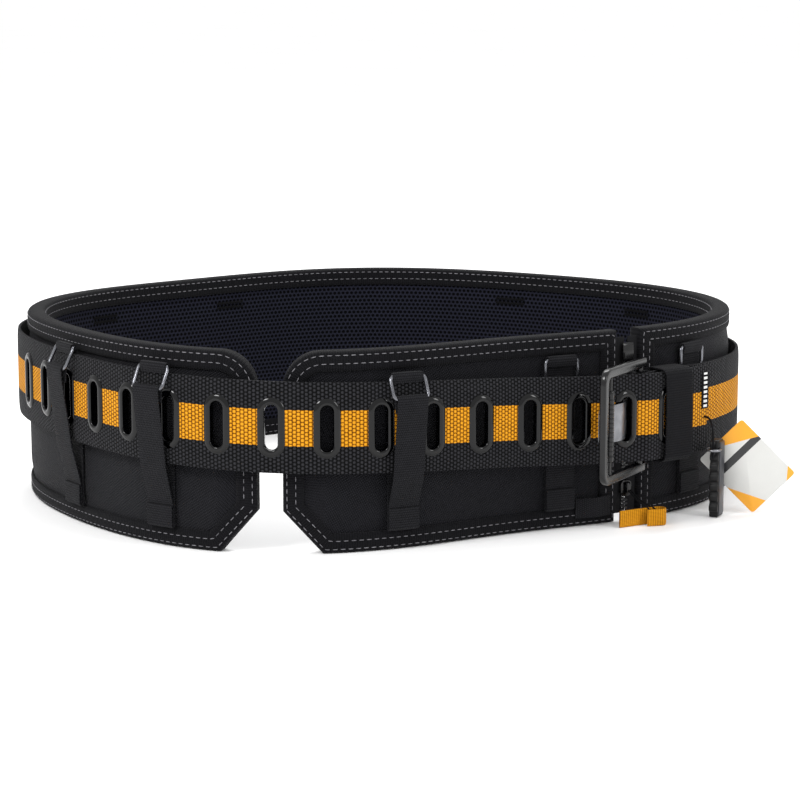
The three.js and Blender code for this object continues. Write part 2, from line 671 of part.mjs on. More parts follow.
// ---- spare clip with its card, standing beside the belt ----
const CLIP = { at: [225.2, -103.3], heading: 67, height: 52, depth: 14, thick: 6, eye: 3.8, eyeDrop: 6 };
const LINK = { radius: 4.5, wire: 1.6 };
const clipFrame = new THREE.Matrix4().makeRotationZ(radians(CLIP.heading)).setPosition(...CLIP.at, 0);
const eyeX = -CLIP.depth / 2 + CLIP.eye;
const eyeZ = CLIP.height - CLIP.eyeDrop;

// Flat plate with a scalloped front edge and an eye near its upper front corner.
function clipPlate() {
  const { height, depth, thick } = CLIP;
  const scallops = 7;
  const pitch = (height - 4) / scallops;
  const back = depth / 2;
  const points = [[back, 0], [back, height - 3], [back - 3, height], [1 - back, height]];
  for (let i = 0; i < scallops; i++) {
    const top = height - 2 - i * pitch;
    points.push([-back, top - pitch * 0.15], [-back, top - pitch * 0.6]);
    points.push([1.2 - back, top - pitch * 0.75], [1.2 - back, top - pitch * 0.95]);
  }
  points.push([1.2 - back, 0]);
  const plate = extrude(points, thick);
  plate.rotateX(Math.PI / 2);
  plate.translate(0, thick / 2, 0);
  const eye = new THREE.CylinderGeometry(2.4, 2.4, 3 * thick, 12);
  eye.translate(eyeX, 0, eyeZ);
  const solid = toManifold(plate).subtract(toManifold(eye));
  addMesh('clip_plate', toGeometry(solid), 'plastic', clipFrame);
}

clipPlate();

// Round link through the eye, level, with the plate's front edge inside it.
function clipLink() {
  const { radius, wire } = LINK;
  const sections = circle(1, 16).map(([x, y]) => circle(wire / 2, 6).map(([out, up]) => new THREE.Vector3(
    x * (radius + out), y * (radius + out), up)));
  const geometry = loft(sections, true);
  geometry.translate(eyeX - radius, 0, eyeZ);
  addMesh('clip_link', geometry, 'gunmetal', clipFrame);
}

clipLink();

// Thin cord from the tail's face, down through the link: a short list of points chosen by hand.
const CLIP_CORD = 1.4;
const CLIP_CORD_ROUTE = [
  [216.9, -98.4, 66], [218.3, -100.6, 66.2], [219.9, -104, 65.4], [221, -107.8, 62.4], [221.4, -110.4, 58.4],
  [221.5, -111.6, 54], [221.6, -112, 49.6], [221.6, -111.9, 45], [221.6, -111.8, 40.4]];
const clipCord = cordTube(CLIP_CORD_ROUTE.map((p) => new THREE.Vector3(...p)), CLIP_CORD, 8, 18);
addMesh('clip_cord', clipCord, 'cord');

// Information card, standing on one corner beside the clip.
const CARD = { at: [246.5, -95.6, 32.2], width: 51, height: 39, thick: 0.6, facing: -3, turn: -45 };
const card = extrude(roundedRectangle(0, 0, CARD.width, CARD.height, 2), CARD.thick);
card.rotateZ(radians(CARD.turn));
card.rotateX(Math.PI / 2);
card.rotateZ(radians(CARD.facing));
card.translate(...CARD.at);
addMesh('card', card, 'card');

group.position.set(-BOX_MIDDLE[0], -BOX_MIDDLE[1], 0);

export default group;
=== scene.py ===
# %% [markdown]
# # A padded work belt
#
# The real belt is a foam pad between nylon and air mesh, with webbing, grommets and a
# buckle round it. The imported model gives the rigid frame: where each piece sits and turns.
# Every soft piece is rebuilt here around that frame, so that cloth looks like cloth.

# %% Load the frame
import math
import bmesh
import bpy
import numpy as np
from mathutils import Matrix, Vector


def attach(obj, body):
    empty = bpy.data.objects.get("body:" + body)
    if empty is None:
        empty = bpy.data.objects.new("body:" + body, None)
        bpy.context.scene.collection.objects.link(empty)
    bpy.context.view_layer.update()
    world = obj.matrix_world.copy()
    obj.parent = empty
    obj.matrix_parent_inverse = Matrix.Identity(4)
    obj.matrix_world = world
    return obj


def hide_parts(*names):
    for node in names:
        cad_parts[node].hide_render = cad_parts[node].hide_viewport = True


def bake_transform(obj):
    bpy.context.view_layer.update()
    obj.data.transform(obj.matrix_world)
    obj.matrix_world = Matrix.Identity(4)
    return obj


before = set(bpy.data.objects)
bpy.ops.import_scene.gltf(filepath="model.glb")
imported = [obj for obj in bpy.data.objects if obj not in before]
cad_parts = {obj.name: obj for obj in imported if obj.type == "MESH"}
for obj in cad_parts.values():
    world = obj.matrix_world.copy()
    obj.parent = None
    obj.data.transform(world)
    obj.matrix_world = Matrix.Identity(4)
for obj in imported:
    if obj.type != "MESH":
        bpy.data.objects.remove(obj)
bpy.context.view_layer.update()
MM = 0.001

# %% [markdown]
# ## The ring that everything follows
#
# A belt standing on its edge is a closed curve seen from above. It could be drawn by hand
# with control points, but a circle with a few harmonics is smooth everywhere, and it gives
# each piece one address: distance along the ring, offset outwards, and height.

# %% The ring
RING_CENTRE = np.array([-3.4, 11.6])
RING_RADIUS = 219
RING_WAVES = ((2, 0.08, 49), (3, 0.034, -12), (4, 0.04, -27), (5, 0.012, 158))
OPENING_ANGLE = 255
BOX_MIDDLE = np.array([13.78, 9])
PAD_HEIGHT = 127

turn = np.radians(OPENING_ANGLE) + np.linspace(0, 2 * np.pi, 2881)
radius = RING_RADIUS * (1 + sum(
    share * np.cos(waves * turn - math.radians(crest)) for waves, share, crest in RING_WAVES))
ring = RING_CENTRE + radius[:, None] * np.stack([np.cos(turn), np.sin(turn)], 1)
walked = np.concatenate([[0], np.cumsum(np.hypot(*np.diff(ring, axis=0).T))])
LENGTH = walked[-1]
heading = np.gradient(ring, walked, axis=0, edge_order=2)
heading[0] = heading[-1] = (heading[0] + heading[-1]) / 2
heading /= np.linalg.norm(heading, axis=1)[:, None]


def along(s):
    """Point, tangent and outward normal of the ring at distance s, in millimetres."""
    s = np.mod(s, LENGTH)
    point = np.stack([np.interp(s, walked, ring[:, k]) for k in (0, 1)], -1)
    tangent = np.stack([np.interp(s, walked, heading[:, k]) for k in (0, 1)], -1)
    return point, tangent, np.stack([tangent[..., 1], -tangent[..., 0]], -1)


def place(s, offset, z):
    """Point of the row frame in metres, from distance, outward offset and height."""
    s, offset, z = np.broadcast_arrays(*np.atleast_1d(s, offset, z))
    point, _, normal = along(s)
    flat = point + normal * offset[..., None] - BOX_MIDDLE
    return np.concatenate([flat, z[..., None]], -1) * MM


def local_frame(s, offset, z, degrees=0):
    """Matrix of a flat frame on the ring: x back along it, y outwards, z up."""
    _, tangent, normal = along(np.float64(s))
    x, y = np.array([*-tangent, 0]), np.array([*normal, 0])
    c, n = math.cos(math.radians(degrees)), math.sin(math.radians(degrees))
    matrix = np.eye(4)
    matrix[:3, 0], matrix[:3, 1] = c * x + n * y, c * y - n * x
    matrix[:3, 3] = place(s, offset, z)[0]
    return matrix


def in_frame(points, matrix):
    """Points in millimetres of a local frame, as points of the row frame in metres."""
    return np.asarray(points, float) * MM @ matrix[:3, :3].T + matrix[:3, 3]


def smooth_through(rows, x):
    """Smooth values at x through rows of (position, value)."""
    rows = np.asarray(rows, float)
    slope = np.gradient(rows[:, 1], rows[:, 0])
    x = np.clip(x, rows[0, 0], rows[-1, 0])
    i = np.clip(np.searchsorted(rows[:, 0], x) - 1, 0, len(rows) - 2)
    span = rows[i + 1, 0] - rows[i, 0]
    t = (x - rows[i, 0]) / span
    rise, fall, gap = slope[i] * span, slope[i + 1] * span, rows[i + 1, 1] - rows[i, 1]
    return rows[i, 1] + t * (rise + t * (3 * gap - 2 * rise - fall + t * (rise + fall - 2 * gap)))


print("ring:", round(LENGTH), "mm round")

# %% [markdown]
# ## Camera
#
# A long lens from far away keeps the near and far sides of the ring close in size.

# %% Camera
CAMERA_AT, LOOK_DOWN = (0.0018, -1.7368, 0.3549), 9.67
lens = bpy.data.cameras.new("long_lens")
lens.lens, lens.sensor_width = 112.5, 36
camera = bpy.data.objects.new("camera", lens)
camera.location = CAMERA_AT
camera.rotation_euler = (math.radians(90 - LOOK_DOWN), 0, 0)
bpy.context.scene.collection.objects.link(camera)
bpy.context.scene.camera = camera
print("camera:", lens.lens, "mm")

# %% [markdown]
# ## Turning rows of points into meshes
#
# Nearly every piece here is either a sweep (one section carried along a path) or a sheet
# with thickness. Curve objects with bevels could do the sweeps, but plain mesh code lets
# each piece keep a map of its cloth in millimetres, which the weaves below are drawn on.

# %% Mesh helpers
def make_piece(name, verts, faces, uvs, material, body="root", crease=40):
    """A closed mesh that rides on a body. uvs is one (across, along) pair per corner, in mm."""
    mesh = bpy.data.meshes.new(name)
    mesh.from_pydata([tuple(v) for v in verts], [], faces)
    layer = mesh.uv_layers.new(name="cloth_mm")
    layer.data.foreach_set("uv", np.asarray(uvs, np.float32).ravel())
    bm = bmesh.new()
    bm.from_mesh(mesh)
    bmesh.ops.recalc_face_normals(bm, faces=bm.faces)
    for edge in bm.edges:
        edge.smooth = not (edge.is_manifold and edge.calc_face_angle(0) > math.radians(crease))
    for face in bm.faces:
        face.smooth = True
    bm.to_mesh(mesh)
    bm.free()
    mesh.materials.append(material)
    piece = bpy.data.objects.new(name, mesh)
    bpy.context.scene.collection.objects.link(piece)
    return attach(piece, body) if body else piece


def run_along(points):
    """Running length along rows of points, in their own unit."""
    return np.concatenate([[0], np.cumsum(np.linalg.norm(np.diff(points, axis=0), axis=1))])


def lengths(points, closed=False):
    """Running length of rows of points in metres, as millimetres."""
    points = np.concatenate([points, points[:1]]) if closed else points
    return run_along(points) / MM


def sweep(sections, closed=False, us=None, vs=None):
    """Vertices, faces and map of sections (rows, points, 3) joined into a closed body."""
    rows, count = sections.shape[:2]
    us = lengths(sections.mean(1), closed) if us is None else us
    vs = lengths(sections[0], True) if vs is None else vs
    faces, uvs = [], []
    for i in range(rows if closed else rows - 1):
        a, b = i * count, (i + 1) % rows * count
        for j in range(count):
            k = (j + 1) % count
            faces.append((a + j, b + j, b + k, a + k))
            uvs += [(us[i], vs[j]), (us[i + 1], vs[j]), (us[i + 1], vs[j + 1]), (us[i], vs[j + 1])]
    if not closed:
        for first, u in ((0, us[0]), ((rows - 1) * count, us[-1])):
            faces.append(tuple(range(first, first + count)))
            uvs += [(u, v) for v in vs[:count]]
    return sections.reshape(-1, 3), faces, uvs


def slab(front, back, us, vs, keep=None):
    """A sheet with thickness from two grids of points; keep drops cells to leave holes."""
    rows, columns = front.shape[:2]
    keep = np.ones((rows - 1, columns - 1), bool) if keep is None else keep
    size = rows * columns
    faces, uvs = [], []
    padded_keep = np.pad(keep, 1)

    def add(corners):
        faces.append(tuple(i * columns + j + far * size for i, j, far in corners))
        uvs.extend((us[i], vs[j]) for i, j, _ in corners)

    for i, j in zip(*np.nonzero(keep)):
        add([(i, j, 0), (i + 1, j, 0), (i + 1, j + 1, 0), (i, j + 1, 0)])
        add([(i, j, 1), (i, j + 1, 1), (i + 1, j + 1, 1), (i + 1, j, 1)])
        for di, dj, (a, b) in ((-1, 0, ((i, j), (i, j + 1))), (1, 0, ((i + 1, j + 1), (i + 1, j))),
                               (0, -1, ((i + 1, j), (i, j))), (0, 1, ((i, j + 1), (i + 1, j + 1)))):
            if not padded_keep[i + 1 + di, j + 1 + dj]:
                add([(*a, 0), (*b, 0), (*b, 1), (*a, 1)])
    verts = np.concatenate([front.reshape(-1, 3), back.reshape(-1, 3)])
    used = sorted({k for face in faces for k in face})
    index = {k: n for n, k in enumerate(used)}
    return verts[used], [tuple(index[k] for k in face) for face in faces], uvs


def merge(parts):
    """Several (verts, faces, uvs) bodies as one."""
    verts, faces, uvs, start = [], [], [], 0
    for v, f, uv in parts:
        verts.append(v)
        faces += [tuple(k + start for k in face) for face in f]
        uvs += list(uv)
        start += len(v)
    return np.concatenate(verts), faces, uvs


def rounded_box(width, height, corner, steps=4):
    """Outline of a rounded rectangle about the origin, counter-clockwise."""
    quarter = np.radians(np.linspace(0, 90, steps + 1))
    rows = []
    for k, (sx, sy) in enumerate(((1, 1), (-1, 1), (-1, -1), (1, -1))):
        a = quarter + k * math.pi / 2
        rows.append(np.stack([sx * (width / 2 - corner) + corner * np.cos(a),
                              sy * (height / 2 - corner) + corner * np.sin(a)], 1))
    return np.concatenate(rows)


def rail(path, section, across, closed=False):
    """Sections carried along a flat path: section x lies in the path's plane, y along across."""
    path = np.asarray(path, float)
    if closed:
        ahead, behind = np.roll(path, -1, 0), np.roll(path, 1, 0)
    else:
        ahead = np.concatenate([path[1:], 2 * path[-1:] - path[-2:-1]])
        behind = np.concatenate([2 * path[:1] - path[1:2], path[:-1]])
    tangent = ahead - behind
    tangent /= np.linalg.norm(tangent, axis=1)[:, None]
    across = np.asarray(across, float)
    side = np.cross(tangent, across)
    return path[:, None] + side[:, None] * section[None, :, :1] + across * section[None, :, 1:]


def round_section(diameter, sides=12):
    a = np.linspace(0, 2 * np.pi, sides, endpoint=False)
    return np.stack([np.cos(a), np.sin(a)], 1) * diameter / 2


def fillet(points, radius, steps=5):
    """A polyline with each inner corner rounded to about the radius."""
    points = np.asarray(points, float)
    rows = [points[:1]]
    for a, b, c in zip(points, points[1:], points[2:]):
        first, second = a - b, c - b
        reach = min(radius, np.linalg.norm(first) / 2, np.linalg.norm(second) / 2)
        start, end = (b + v / np.linalg.norm(v) * reach for v in (first, second))
        t = np.linspace(0, 1, steps + 1)[:, None]
        rows.append((1 - t) ** 2 * start + 2 * t * (1 - t) * b + t ** 2 * end)
    return np.concatenate([*rows, points[-1:]])


def resample(points, step):
    """The polyline's points about one step apart, both ends kept."""
    run = run_along(points)
    keep = np.concatenate([[True], np.diff(run) > 1e-9])
    t = np.linspace(0, run[-1], max(2, int(round(run[-1] / step)) + 1))
    return np.stack([np.interp(t, run[keep], points[keep, k]) for k in range(points.shape[1])], 1)


print("helpers: sweep, slab, rail, merge")

# %% [markdown]
# ## Colours and nodes
#
# Colour pickers show sRGB, while shaders work in linear light, so one function converts.
# One more adds any node with its settings and its links, which keeps each material short.

# %% Colour and node helpers
def linear(code):
    """An sRGB hex colour as linear RGBA."""
    parts = [int(code[k:k + 2], 16) / 255 for k in (1, 3, 5)]
    return [*(c / 12.92 if c <= 0.04045 else ((c + 0.055) / 1.055) ** 2.4 for c in parts), 1]


def node(material, kind, inputs=None, **settings):
    """Adds one node; inputs maps sockets to values or to other sockets to link from."""
    tree = material.node_tree
    made = tree.nodes.new(kind)
    for key, value in settings.items():
        setattr(made, key, value)
    for key, value in (inputs or {}).items():
        if isinstance(value, bpy.types.NodeSocket):
            tree.links.new(value, made.inputs[key])
        else:
            made.inputs[key].default_value = value
    return made


def maths(material, operation, *values):
    """Result of one math node over sockets and numbers."""
    return node(material, "ShaderNodeMath", dict(enumerate(values)), operation=operation).outputs[0]


def cloth_map(material):
    """Place on the cloth in millimetres, across and along."""
    return node(material, "ShaderNodeUVMap", uv_map="cloth_mm").outputs[0]


def start_material(name, **constants):
    """A material with one Principled shader and its fixed sockets set."""
    material = bpy.data.materials.new(name)
    material.use_nodes = True
    shader = material.node_tree.nodes["Principled BSDF"]
    for key, value in constants.items():
        shader.inputs[key.replace("_", " ")].default_value = value
    return material, shader


def wire_up(material, shader, **links):
    for key, socket in links.items():
        material.node_tree.links.new(socket, shader.inputs[key.replace("_", " ")])


def ramp(material, factor, stops):
    """A colour ramp from hex codes or grey values at positions."""
    made = node(material, "ShaderNodeValToRGB", {"Fac": factor})
    elements = made.color_ramp.elements
    while len(elements) < len(stops):
        elements.new(0.5)
    for element, (position, value) in zip(elements, stops):
        element.position = position
        element.color = linear(value) if isinstance(value, str) else (value, value, value, 1)
    return made.outputs[0]


print("helpers: linear, node, maths, cloth_map, start_material, ramp")

# %% [markdown]
# ## Woven cloth
#
# A plain weave is rows of little pillows, where each thread surfaces, with every second
# row shifted by half a pillow. An image texture would do it, but it would be one size and
# would repeat. Here sines on the cloth's own millimetre map make the pillows, so each cloth
# gets its true thread spacing: `across` and `along` are the pillow's size in millimetres.

# %% Weave pattern
def weave_height(material, across, along, shift=0.5, lean=0.0):
    """Height of woven pillows, 0 to 1, on the piece's cloth map."""
    cloth = cloth_map(material)
    parts = node(material, "ShaderNodeSeparateXYZ", {0: cloth}).outputs
    slanted = maths(material, "MULTIPLY_ADD", parts[1], lean, parts[0])
    column = maths(material, "DIVIDE", slanted, across)
    number = maths(material, "FLOOR", column)
    row = maths(material, "DIVIDE", parts[1], along)
    moved = maths(material, "MULTIPLY_ADD", number, shift, row)
    hills = []
    for value in (column, moved):
        wave = maths(material, "MULTIPLY", value, math.pi)
        sine = maths(material, "SINE", wave)
        hills.append(maths(material, "ABSOLUTE", sine))
    both = maths(material, "MULTIPLY", hills[0], hills[1])
    return maths(material, "POWER", both, 0.6), parts


def fuzz(material, size, detail=3):
    """Uneven tone of dyed yarn, from soft noise of a size in millimetres."""
    cloth = cloth_map(material)
    return node(material, "ShaderNodeTexNoise", {"Vector": cloth, "Scale": 1 / size, "Detail": detail,
                                                "Roughness": 0.6}).outputs[0]


# Dyed yarn scatters light and mirrors little, so this low level keeps black cloth black.
YARN_GLOSS = 0.06


def woven(name, dark, light, across, along, depth, rough=0.75, sheen=0.03, shift=0.5, lean=0.0):
    """A dyed woven cloth in one colour: painted shade in the thread gaps, painted highlight on the crowns."""
    material, shader = start_material(name, Roughness=rough, Sheen_Weight=sheen,
                                      Sheen_Roughness=0.45, IOR=1.5, Specular_IOR_Level=YARN_GLOSS)
    height, _ = weave_height(material, across, along, shift, lean)
    patch = fuzz(material, 9)
    tone_and_weave_shade = maths(material, "MULTIPLY_ADD", patch, 0.45, height)
    # Colour from the weave height: painted shade in the gaps, painted highlight on the crowns, with the
    # yarn's uneven tone.
    colour = ramp(material, tone_and_weave_shade, [(0.12, dark), (1.0, light)])
    bump = node(material, "ShaderNodeBump", {"Height": height, "Distance": depth * MM,
                                            "Strength": 1.0})
    wire_up(material, shader, Base_Color=colour, Normal=bump.outputs[0])
    return material


# In each cloth below, the first colour is the painted shade of the gaps and the second the painted highlight
# of the crowns.
# Ballistic nylon: thick filament yarns in a 2 by 2 basket, black, with almost no shine.
# Its 1.4 mm checks run on the slant that such cloth shows when its threads pack unevenly.
ballistic_nylon = woven("ballistic_nylon_basket_weave", "#020203", "#1d1d21", 1.4, 1.4, 0.6,
                        rough=0.62, lean=0.5)
# Grosgrain binding: ribs run straight across the tape, 1.6 mm apart.
binding_tape = woven("grosgrain_binding_tape", "#030304", "#141417", 1.6, 0.9, 0.3, shift=0.0)
# Flat polyester webbing of the loops: fine 1.5 mm grain in close rows.
loop_webbing = woven("loop_webbing_fine_grain", "#030304", "#1f1f22", 1.5, 1.3, 0.4, rough=0.7)
# Amber grosgrain of the zipper's pull tab.
amber_tape = woven("amber_grosgrain_tape", "#5f3a03", "#d4901a", 1.6, 0.9, 0.25, rough=0.7, shift=0.0)
# Knitted zipper tape, finer than the rest.
zipper_cloth = woven("knitted_zipper_tape", "#0b0b0c", "#202022", 0.9, 0.9, 0.12)
print("cloths:", ballistic_nylon.name, binding_tape.name, loop_webbing.name)

# %% [markdown]
# ## Belt webbing with its stripe
#
# The stripe is not printed: amber warp threads run between black ones, so its edge steps
# from thread to thread. Here the colour is switched where the distance from the webbing's
# middle passes half the stripe's width, so the edge is a straight line.

# %% Striped webbing
STRIPE_HALF = 11.3
THREAD = (2.25, 2.5)
striped_webbing, shader = start_material("striped_belt_webbing", Roughness=0.72, Sheen_Weight=0.03,
                                         Sheen_Roughness=0.45, Specular_IOR_Level=YARN_GLOSS)
height, parts = weave_height(striped_webbing, *THREAD)
patch = fuzz(striped_webbing, 7)
tone_and_weave_shade = maths(striped_webbing, "MULTIPLY_ADD", patch, 0.4, height)
# Both ramps follow the weave height: painted shade in the thread gaps, painted highlight on the crowns, with
# the yarn's uneven tone.
black = ramp(striped_webbing, tone_and_weave_shade, [(0.3, "#010102"), (0.8, "#141416"), (1.0, "#2c2c2f")])
amber = ramp(striped_webbing, tone_and_weave_shade, [(0.28, "#361c02"), (0.62, "#a96a09"), (1.0, "#d99520")])
middle = maths(striped_webbing, "ABSOLUTE", parts[1])
inside = maths(striped_webbing, "LESS_THAN", middle, STRIPE_HALF)
colour = node(striped_webbing, "ShaderNodeMix", {"Factor": inside, 6: black, 7: amber},
              data_type="RGBA").outputs[2]
bump = node(striped_webbing, "ShaderNodeBump", {"Height": height, "Distance": 0.8 * MM})
wire_up(striped_webbing, shader, Base_Color=colour, Normal=bump.outputs[0])
print("stripe:", 2 * STRIPE_HALF, "mm of amber thread")

# %% [markdown]
# ## Air mesh
#
# Spacer mesh has two knitted faces held apart by fine threads, and the face you touch is
# a net of round holes about 3 mm apart. Modelling each hole would cost a million faces,
# so rows of round dots on the cloth map draw them, with a bump, and each hole is painted
# near black as painted shade at its bottom.

# %% Air mesh
air_mesh, shader = start_material("knitted_air_mesh", Roughness=0.85, Specular_IOR_Level=YARN_GLOSS)
cloth = cloth_map(air_mesh)
# A little wider than the real net, so that the holes still show from far away.
HOLE_PITCH = 3.5
squeezed = node(air_mesh, "ShaderNodeMapping", {"Vector": cloth, "Scale": (1, 1.15, 1)}).outputs[0]
parts = node(air_mesh, "ShaderNodeSeparateXYZ", {0: squeezed}).outputs
row = maths(air_mesh, "DIVIDE", parts[1], HOLE_PITCH)
row_number = maths(air_mesh, "FLOOR", row)
shifted = maths(air_mesh, "MULTIPLY_ADD", row_number, HOLE_PITCH / 2, parts[0])
column = maths(air_mesh, "DIVIDE", shifted, HOLE_PITCH)
squares = []
for value in (row, column):
    share = maths(air_mesh, "FRACT", value)
    centred = maths(air_mesh, "SUBTRACT", share, 0.5)
    squares.append(maths(air_mesh, "MULTIPLY", centred, centred))
away = maths(air_mesh, "ADD", squares[0], squares[1])
net = node(air_mesh, "ShaderNodeMapRange", {"Value": away, "From Min": 0.07, "From Max": 0.16}).outputs[0]
# The holes are painted near black, as painted shade at their bottoms; the net is the mesh's own navy black.
colour = ramp(air_mesh, net, [(0.0, "#000001"), (1.0, "#1c1d27")])
bump = node(air_mesh, "ShaderNodeBump", {"Height": net, "Distance": 0.8 * MM})
wire_up(air_mesh, shader, Base_Color=colour, Normal=bump.outputs[0])
print("air mesh: holes every", HOLE_PITCH, "mm")

# %% [markdown]
# ## Metals, mouldings and small cloths
#
# Painted steel shows its finish through highlights: gloss enamel gives narrow bright
# streaks and satin powder coat gives softer ones. A little noise in roughness breaks
# the highlight up, as handling and fine dust do.

# %% Metals and mouldings
def coated(name, colour, rough, metallic=0.0, grain=0.25, spread=0.1, gloss_level=0.5):
    """A painted or plated surface with slightly uneven gloss and fine grain in millimetres."""
    material, shader = start_material(name, Metallic=metallic, Specular_IOR_Level=gloss_level)
    where = node(material, "ShaderNodeTexCoord").outputs["Object"]
    noise = node(material, "ShaderNodeTexNoise", {"Vector": where, "Scale": 1 / (8 * MM),
                                                 "Detail": 4}).outputs[0]
    gloss = node(material, "ShaderNodeMapRange", {"Value": noise, "To Min": rough - spread / 2,
                                                 "To Max": rough + spread / 2}).outputs[0]
    fine = node(material, "ShaderNodeTexNoise", {"Vector": where, "Scale": 1 / (grain * MM),
                                                "Detail": 2}).outputs[0]
    bump = node(material, "ShaderNodeBump", {"Height": fine, "Distance": 0.003 * MM,
                                            "Strength": 0.12}).outputs[0]
    tint = ramp(material, noise, [(0.3, colour[0]), (0.7, colour[1])])
    wire_up(material, shader, Base_Color=tint, Roughness=gloss, Normal=bump)
    return material


# Gloss enamel on stamped eyelets: near black, narrow bright highlights.
gloss_enamel = coated("gloss_black_enamel", ("#010102", "#030304"), 0.1, spread=0.04, gloss_level=0.3)
# Satin powder coat on the buckle and rings: dark grey where light grazes it.
satin_coat = coated("satin_black_powder_coat", ("#040405", "#0a0a0c"), 0.2, spread=0.05, gloss_level=0.36)
# Blackened steel rod of the rings, rubbed a little brighter.
ring_steel = coated("blackened_steel_rod", ("#5b5c61", "#77787d"), 0.24, metallic=0.95)
# Gunmetal plating on the tongue and link.
gunmetal = coated("gunmetal_plated_steel", ("#67686c", "#85868a"), 0.3, metallic=0.9)
# Moulded nylon of the clip, and its brushed grey face plate.
moulded_nylon = coated("moulded_black_nylon", ("#050506", "#0c0c0e"), 0.4, grain=0.4, gloss_level=0.25)
grey_face = coated("satin_grey_face_plate", ("#3a3b40", "#4c4d52"), 0.38, metallic=0.5)
# Stitching thread: waxed light grey polyester, and the black of the bar tacks.
grey_thread = coated("waxed_grey_thread", ("#5d5c60", "#7d7c80"), 0.7, gloss_level=0.1)
black_thread = coated("waxed_black_thread", ("#050506", "#0d0d10"), 0.7, gloss_level=0.1)
# Braided cord, and moulded zipper teeth.
braided_cord = coated("braided_black_cord", ("#060607", "#101013"), 0.7, grain=0.6, gloss_level=0.1)
moulded_teeth = coated("moulded_acetal_teeth", ("#0b0b0d", "#141417"), 0.35)
print("coatings:", gloss_enamel.name, satin_coat.name, gunmetal.name)

# %% [markdown]
# ## The padded panels
#
# Each panel is a sandwich: nylon outside, foam, air mesh inside. The foam pushes the cloth
# out, and the binding and the stitching pull it in, so the surface is crowned with a dip
# along every edge. A cloth simulation could inflate it, but a panel 1.1 m long and 12 mm
# thick needs millions of cells for that. A crown that rises smoothly from the edges, with
# a few slow waves, gives the same form and is the same at every run.

# %% Panel shape
FLAP_RADIUS, CHAMFER = 24, (24, 27)
ZIP_S, ZIP_HALF_GAP = 248, 9
PANELS = {"front": (6, ZIP_S - ZIP_HALF_GAP, 1), "wrap": (ZIP_S + ZIP_HALF_GAP, LENGTH - 9.4, -1)}


def flap_edges(e, gap):
    """Lower and upper edge of a layer at distance e from the flap's end."""
    run, rise = CHAMFER
    arc = np.sqrt(np.maximum((FLAP_RADIUS - gap) ** 2 - (FLAP_RADIUS - e) ** 2, 0))
    high = np.where(e < FLAP_RADIUS, PAD_HEIGHT - FLAP_RADIUS + arc, PAD_HEIGHT - gap)
    low = np.maximum(rise - rise / run * e + gap * math.hypot(1, rise / run), gap)
    return low, high


def ease(x):
    x = np.clip(x, 0, 1)
    return x * x * (3 - 2 * x)


def panel_layer(prefix, near, rise, far, waves, gap=3.0, step=4.0, rows=27, fold=None):
    """A layer from offset far to a crowned face that rises from near by rise, with a fold line at s."""
    start, end, sign = PANELS[prefix]
    width = end - start
    e = np.concatenate([gap + 0.2 + np.array([0, 1, 3, 6]), np.arange(13, width - gap, step), [width - gap]])
    low, high = flap_edges(e, gap)
    t = np.linspace(0, 1, rows)
    z = low[:, None] + (high - low)[:, None] * t
    s = np.repeat((start + e if sign > 0 else end - e)[:, None], rows, 1)
    d = np.minimum(np.minimum(z - low[:, None], high[:, None] - z),
                   np.minimum(e, width - e)[:, None] - gap)
    slow = np.sin(s / 31 + 0.7) * np.sin(z / 19 + s / 90) + 0.6 * np.sin(s / 13 + z / 27)
    crown = rise * ease((d - 7) / 16)
    if fold is not None:
        crown *= 1 - 0.85 * np.exp(-((s - fold) / 5) ** 2)
    face = near + crown + waves * slow * ease((d - 7) / 25)
    return slab(place(s, face, z), place(s, far + 0 * s, z), s[:, 0], z[len(e) // 2])


# The lining folds a little at the back, where the ring crosses this x behind its centre.
CREASE_X = -6.5
behind = np.where(ring[:, 1] < 0, 1e3, 0)
lining_crease = float(walked[np.argmin(np.abs(ring[:, 0] - CREASE_X) + behind)])
for prefix in PANELS:
    pad = make_piece(f"{prefix}_pad", *panel_layer(prefix, 4.3, 1.7, -3.0, 0.22), ballistic_nylon)
    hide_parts(f"{prefix}_shell", f"{prefix}_foam")
    lining = make_piece(f"{prefix}_lining", *panel_layer(
        prefix, -4.3, -1.5, -3.1, 0.3, fold=lining_crease), air_mesh)
    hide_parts(f"{prefix}_mesh")
    print(prefix, "panel:", len(pad.data.polygons), "faces outside,", len(lining.data.polygons), "inside")

# %% [markdown]
# ## Edge binding and its stitches
#
# Binding is a tape folded over the raw edge and sewn through twice. A bevelled curve could
# follow the edge, but the tape has to lie flat on both faces and turn the corners without
# overlapping, so its section is carried round the panel and mitred where the edge turns.

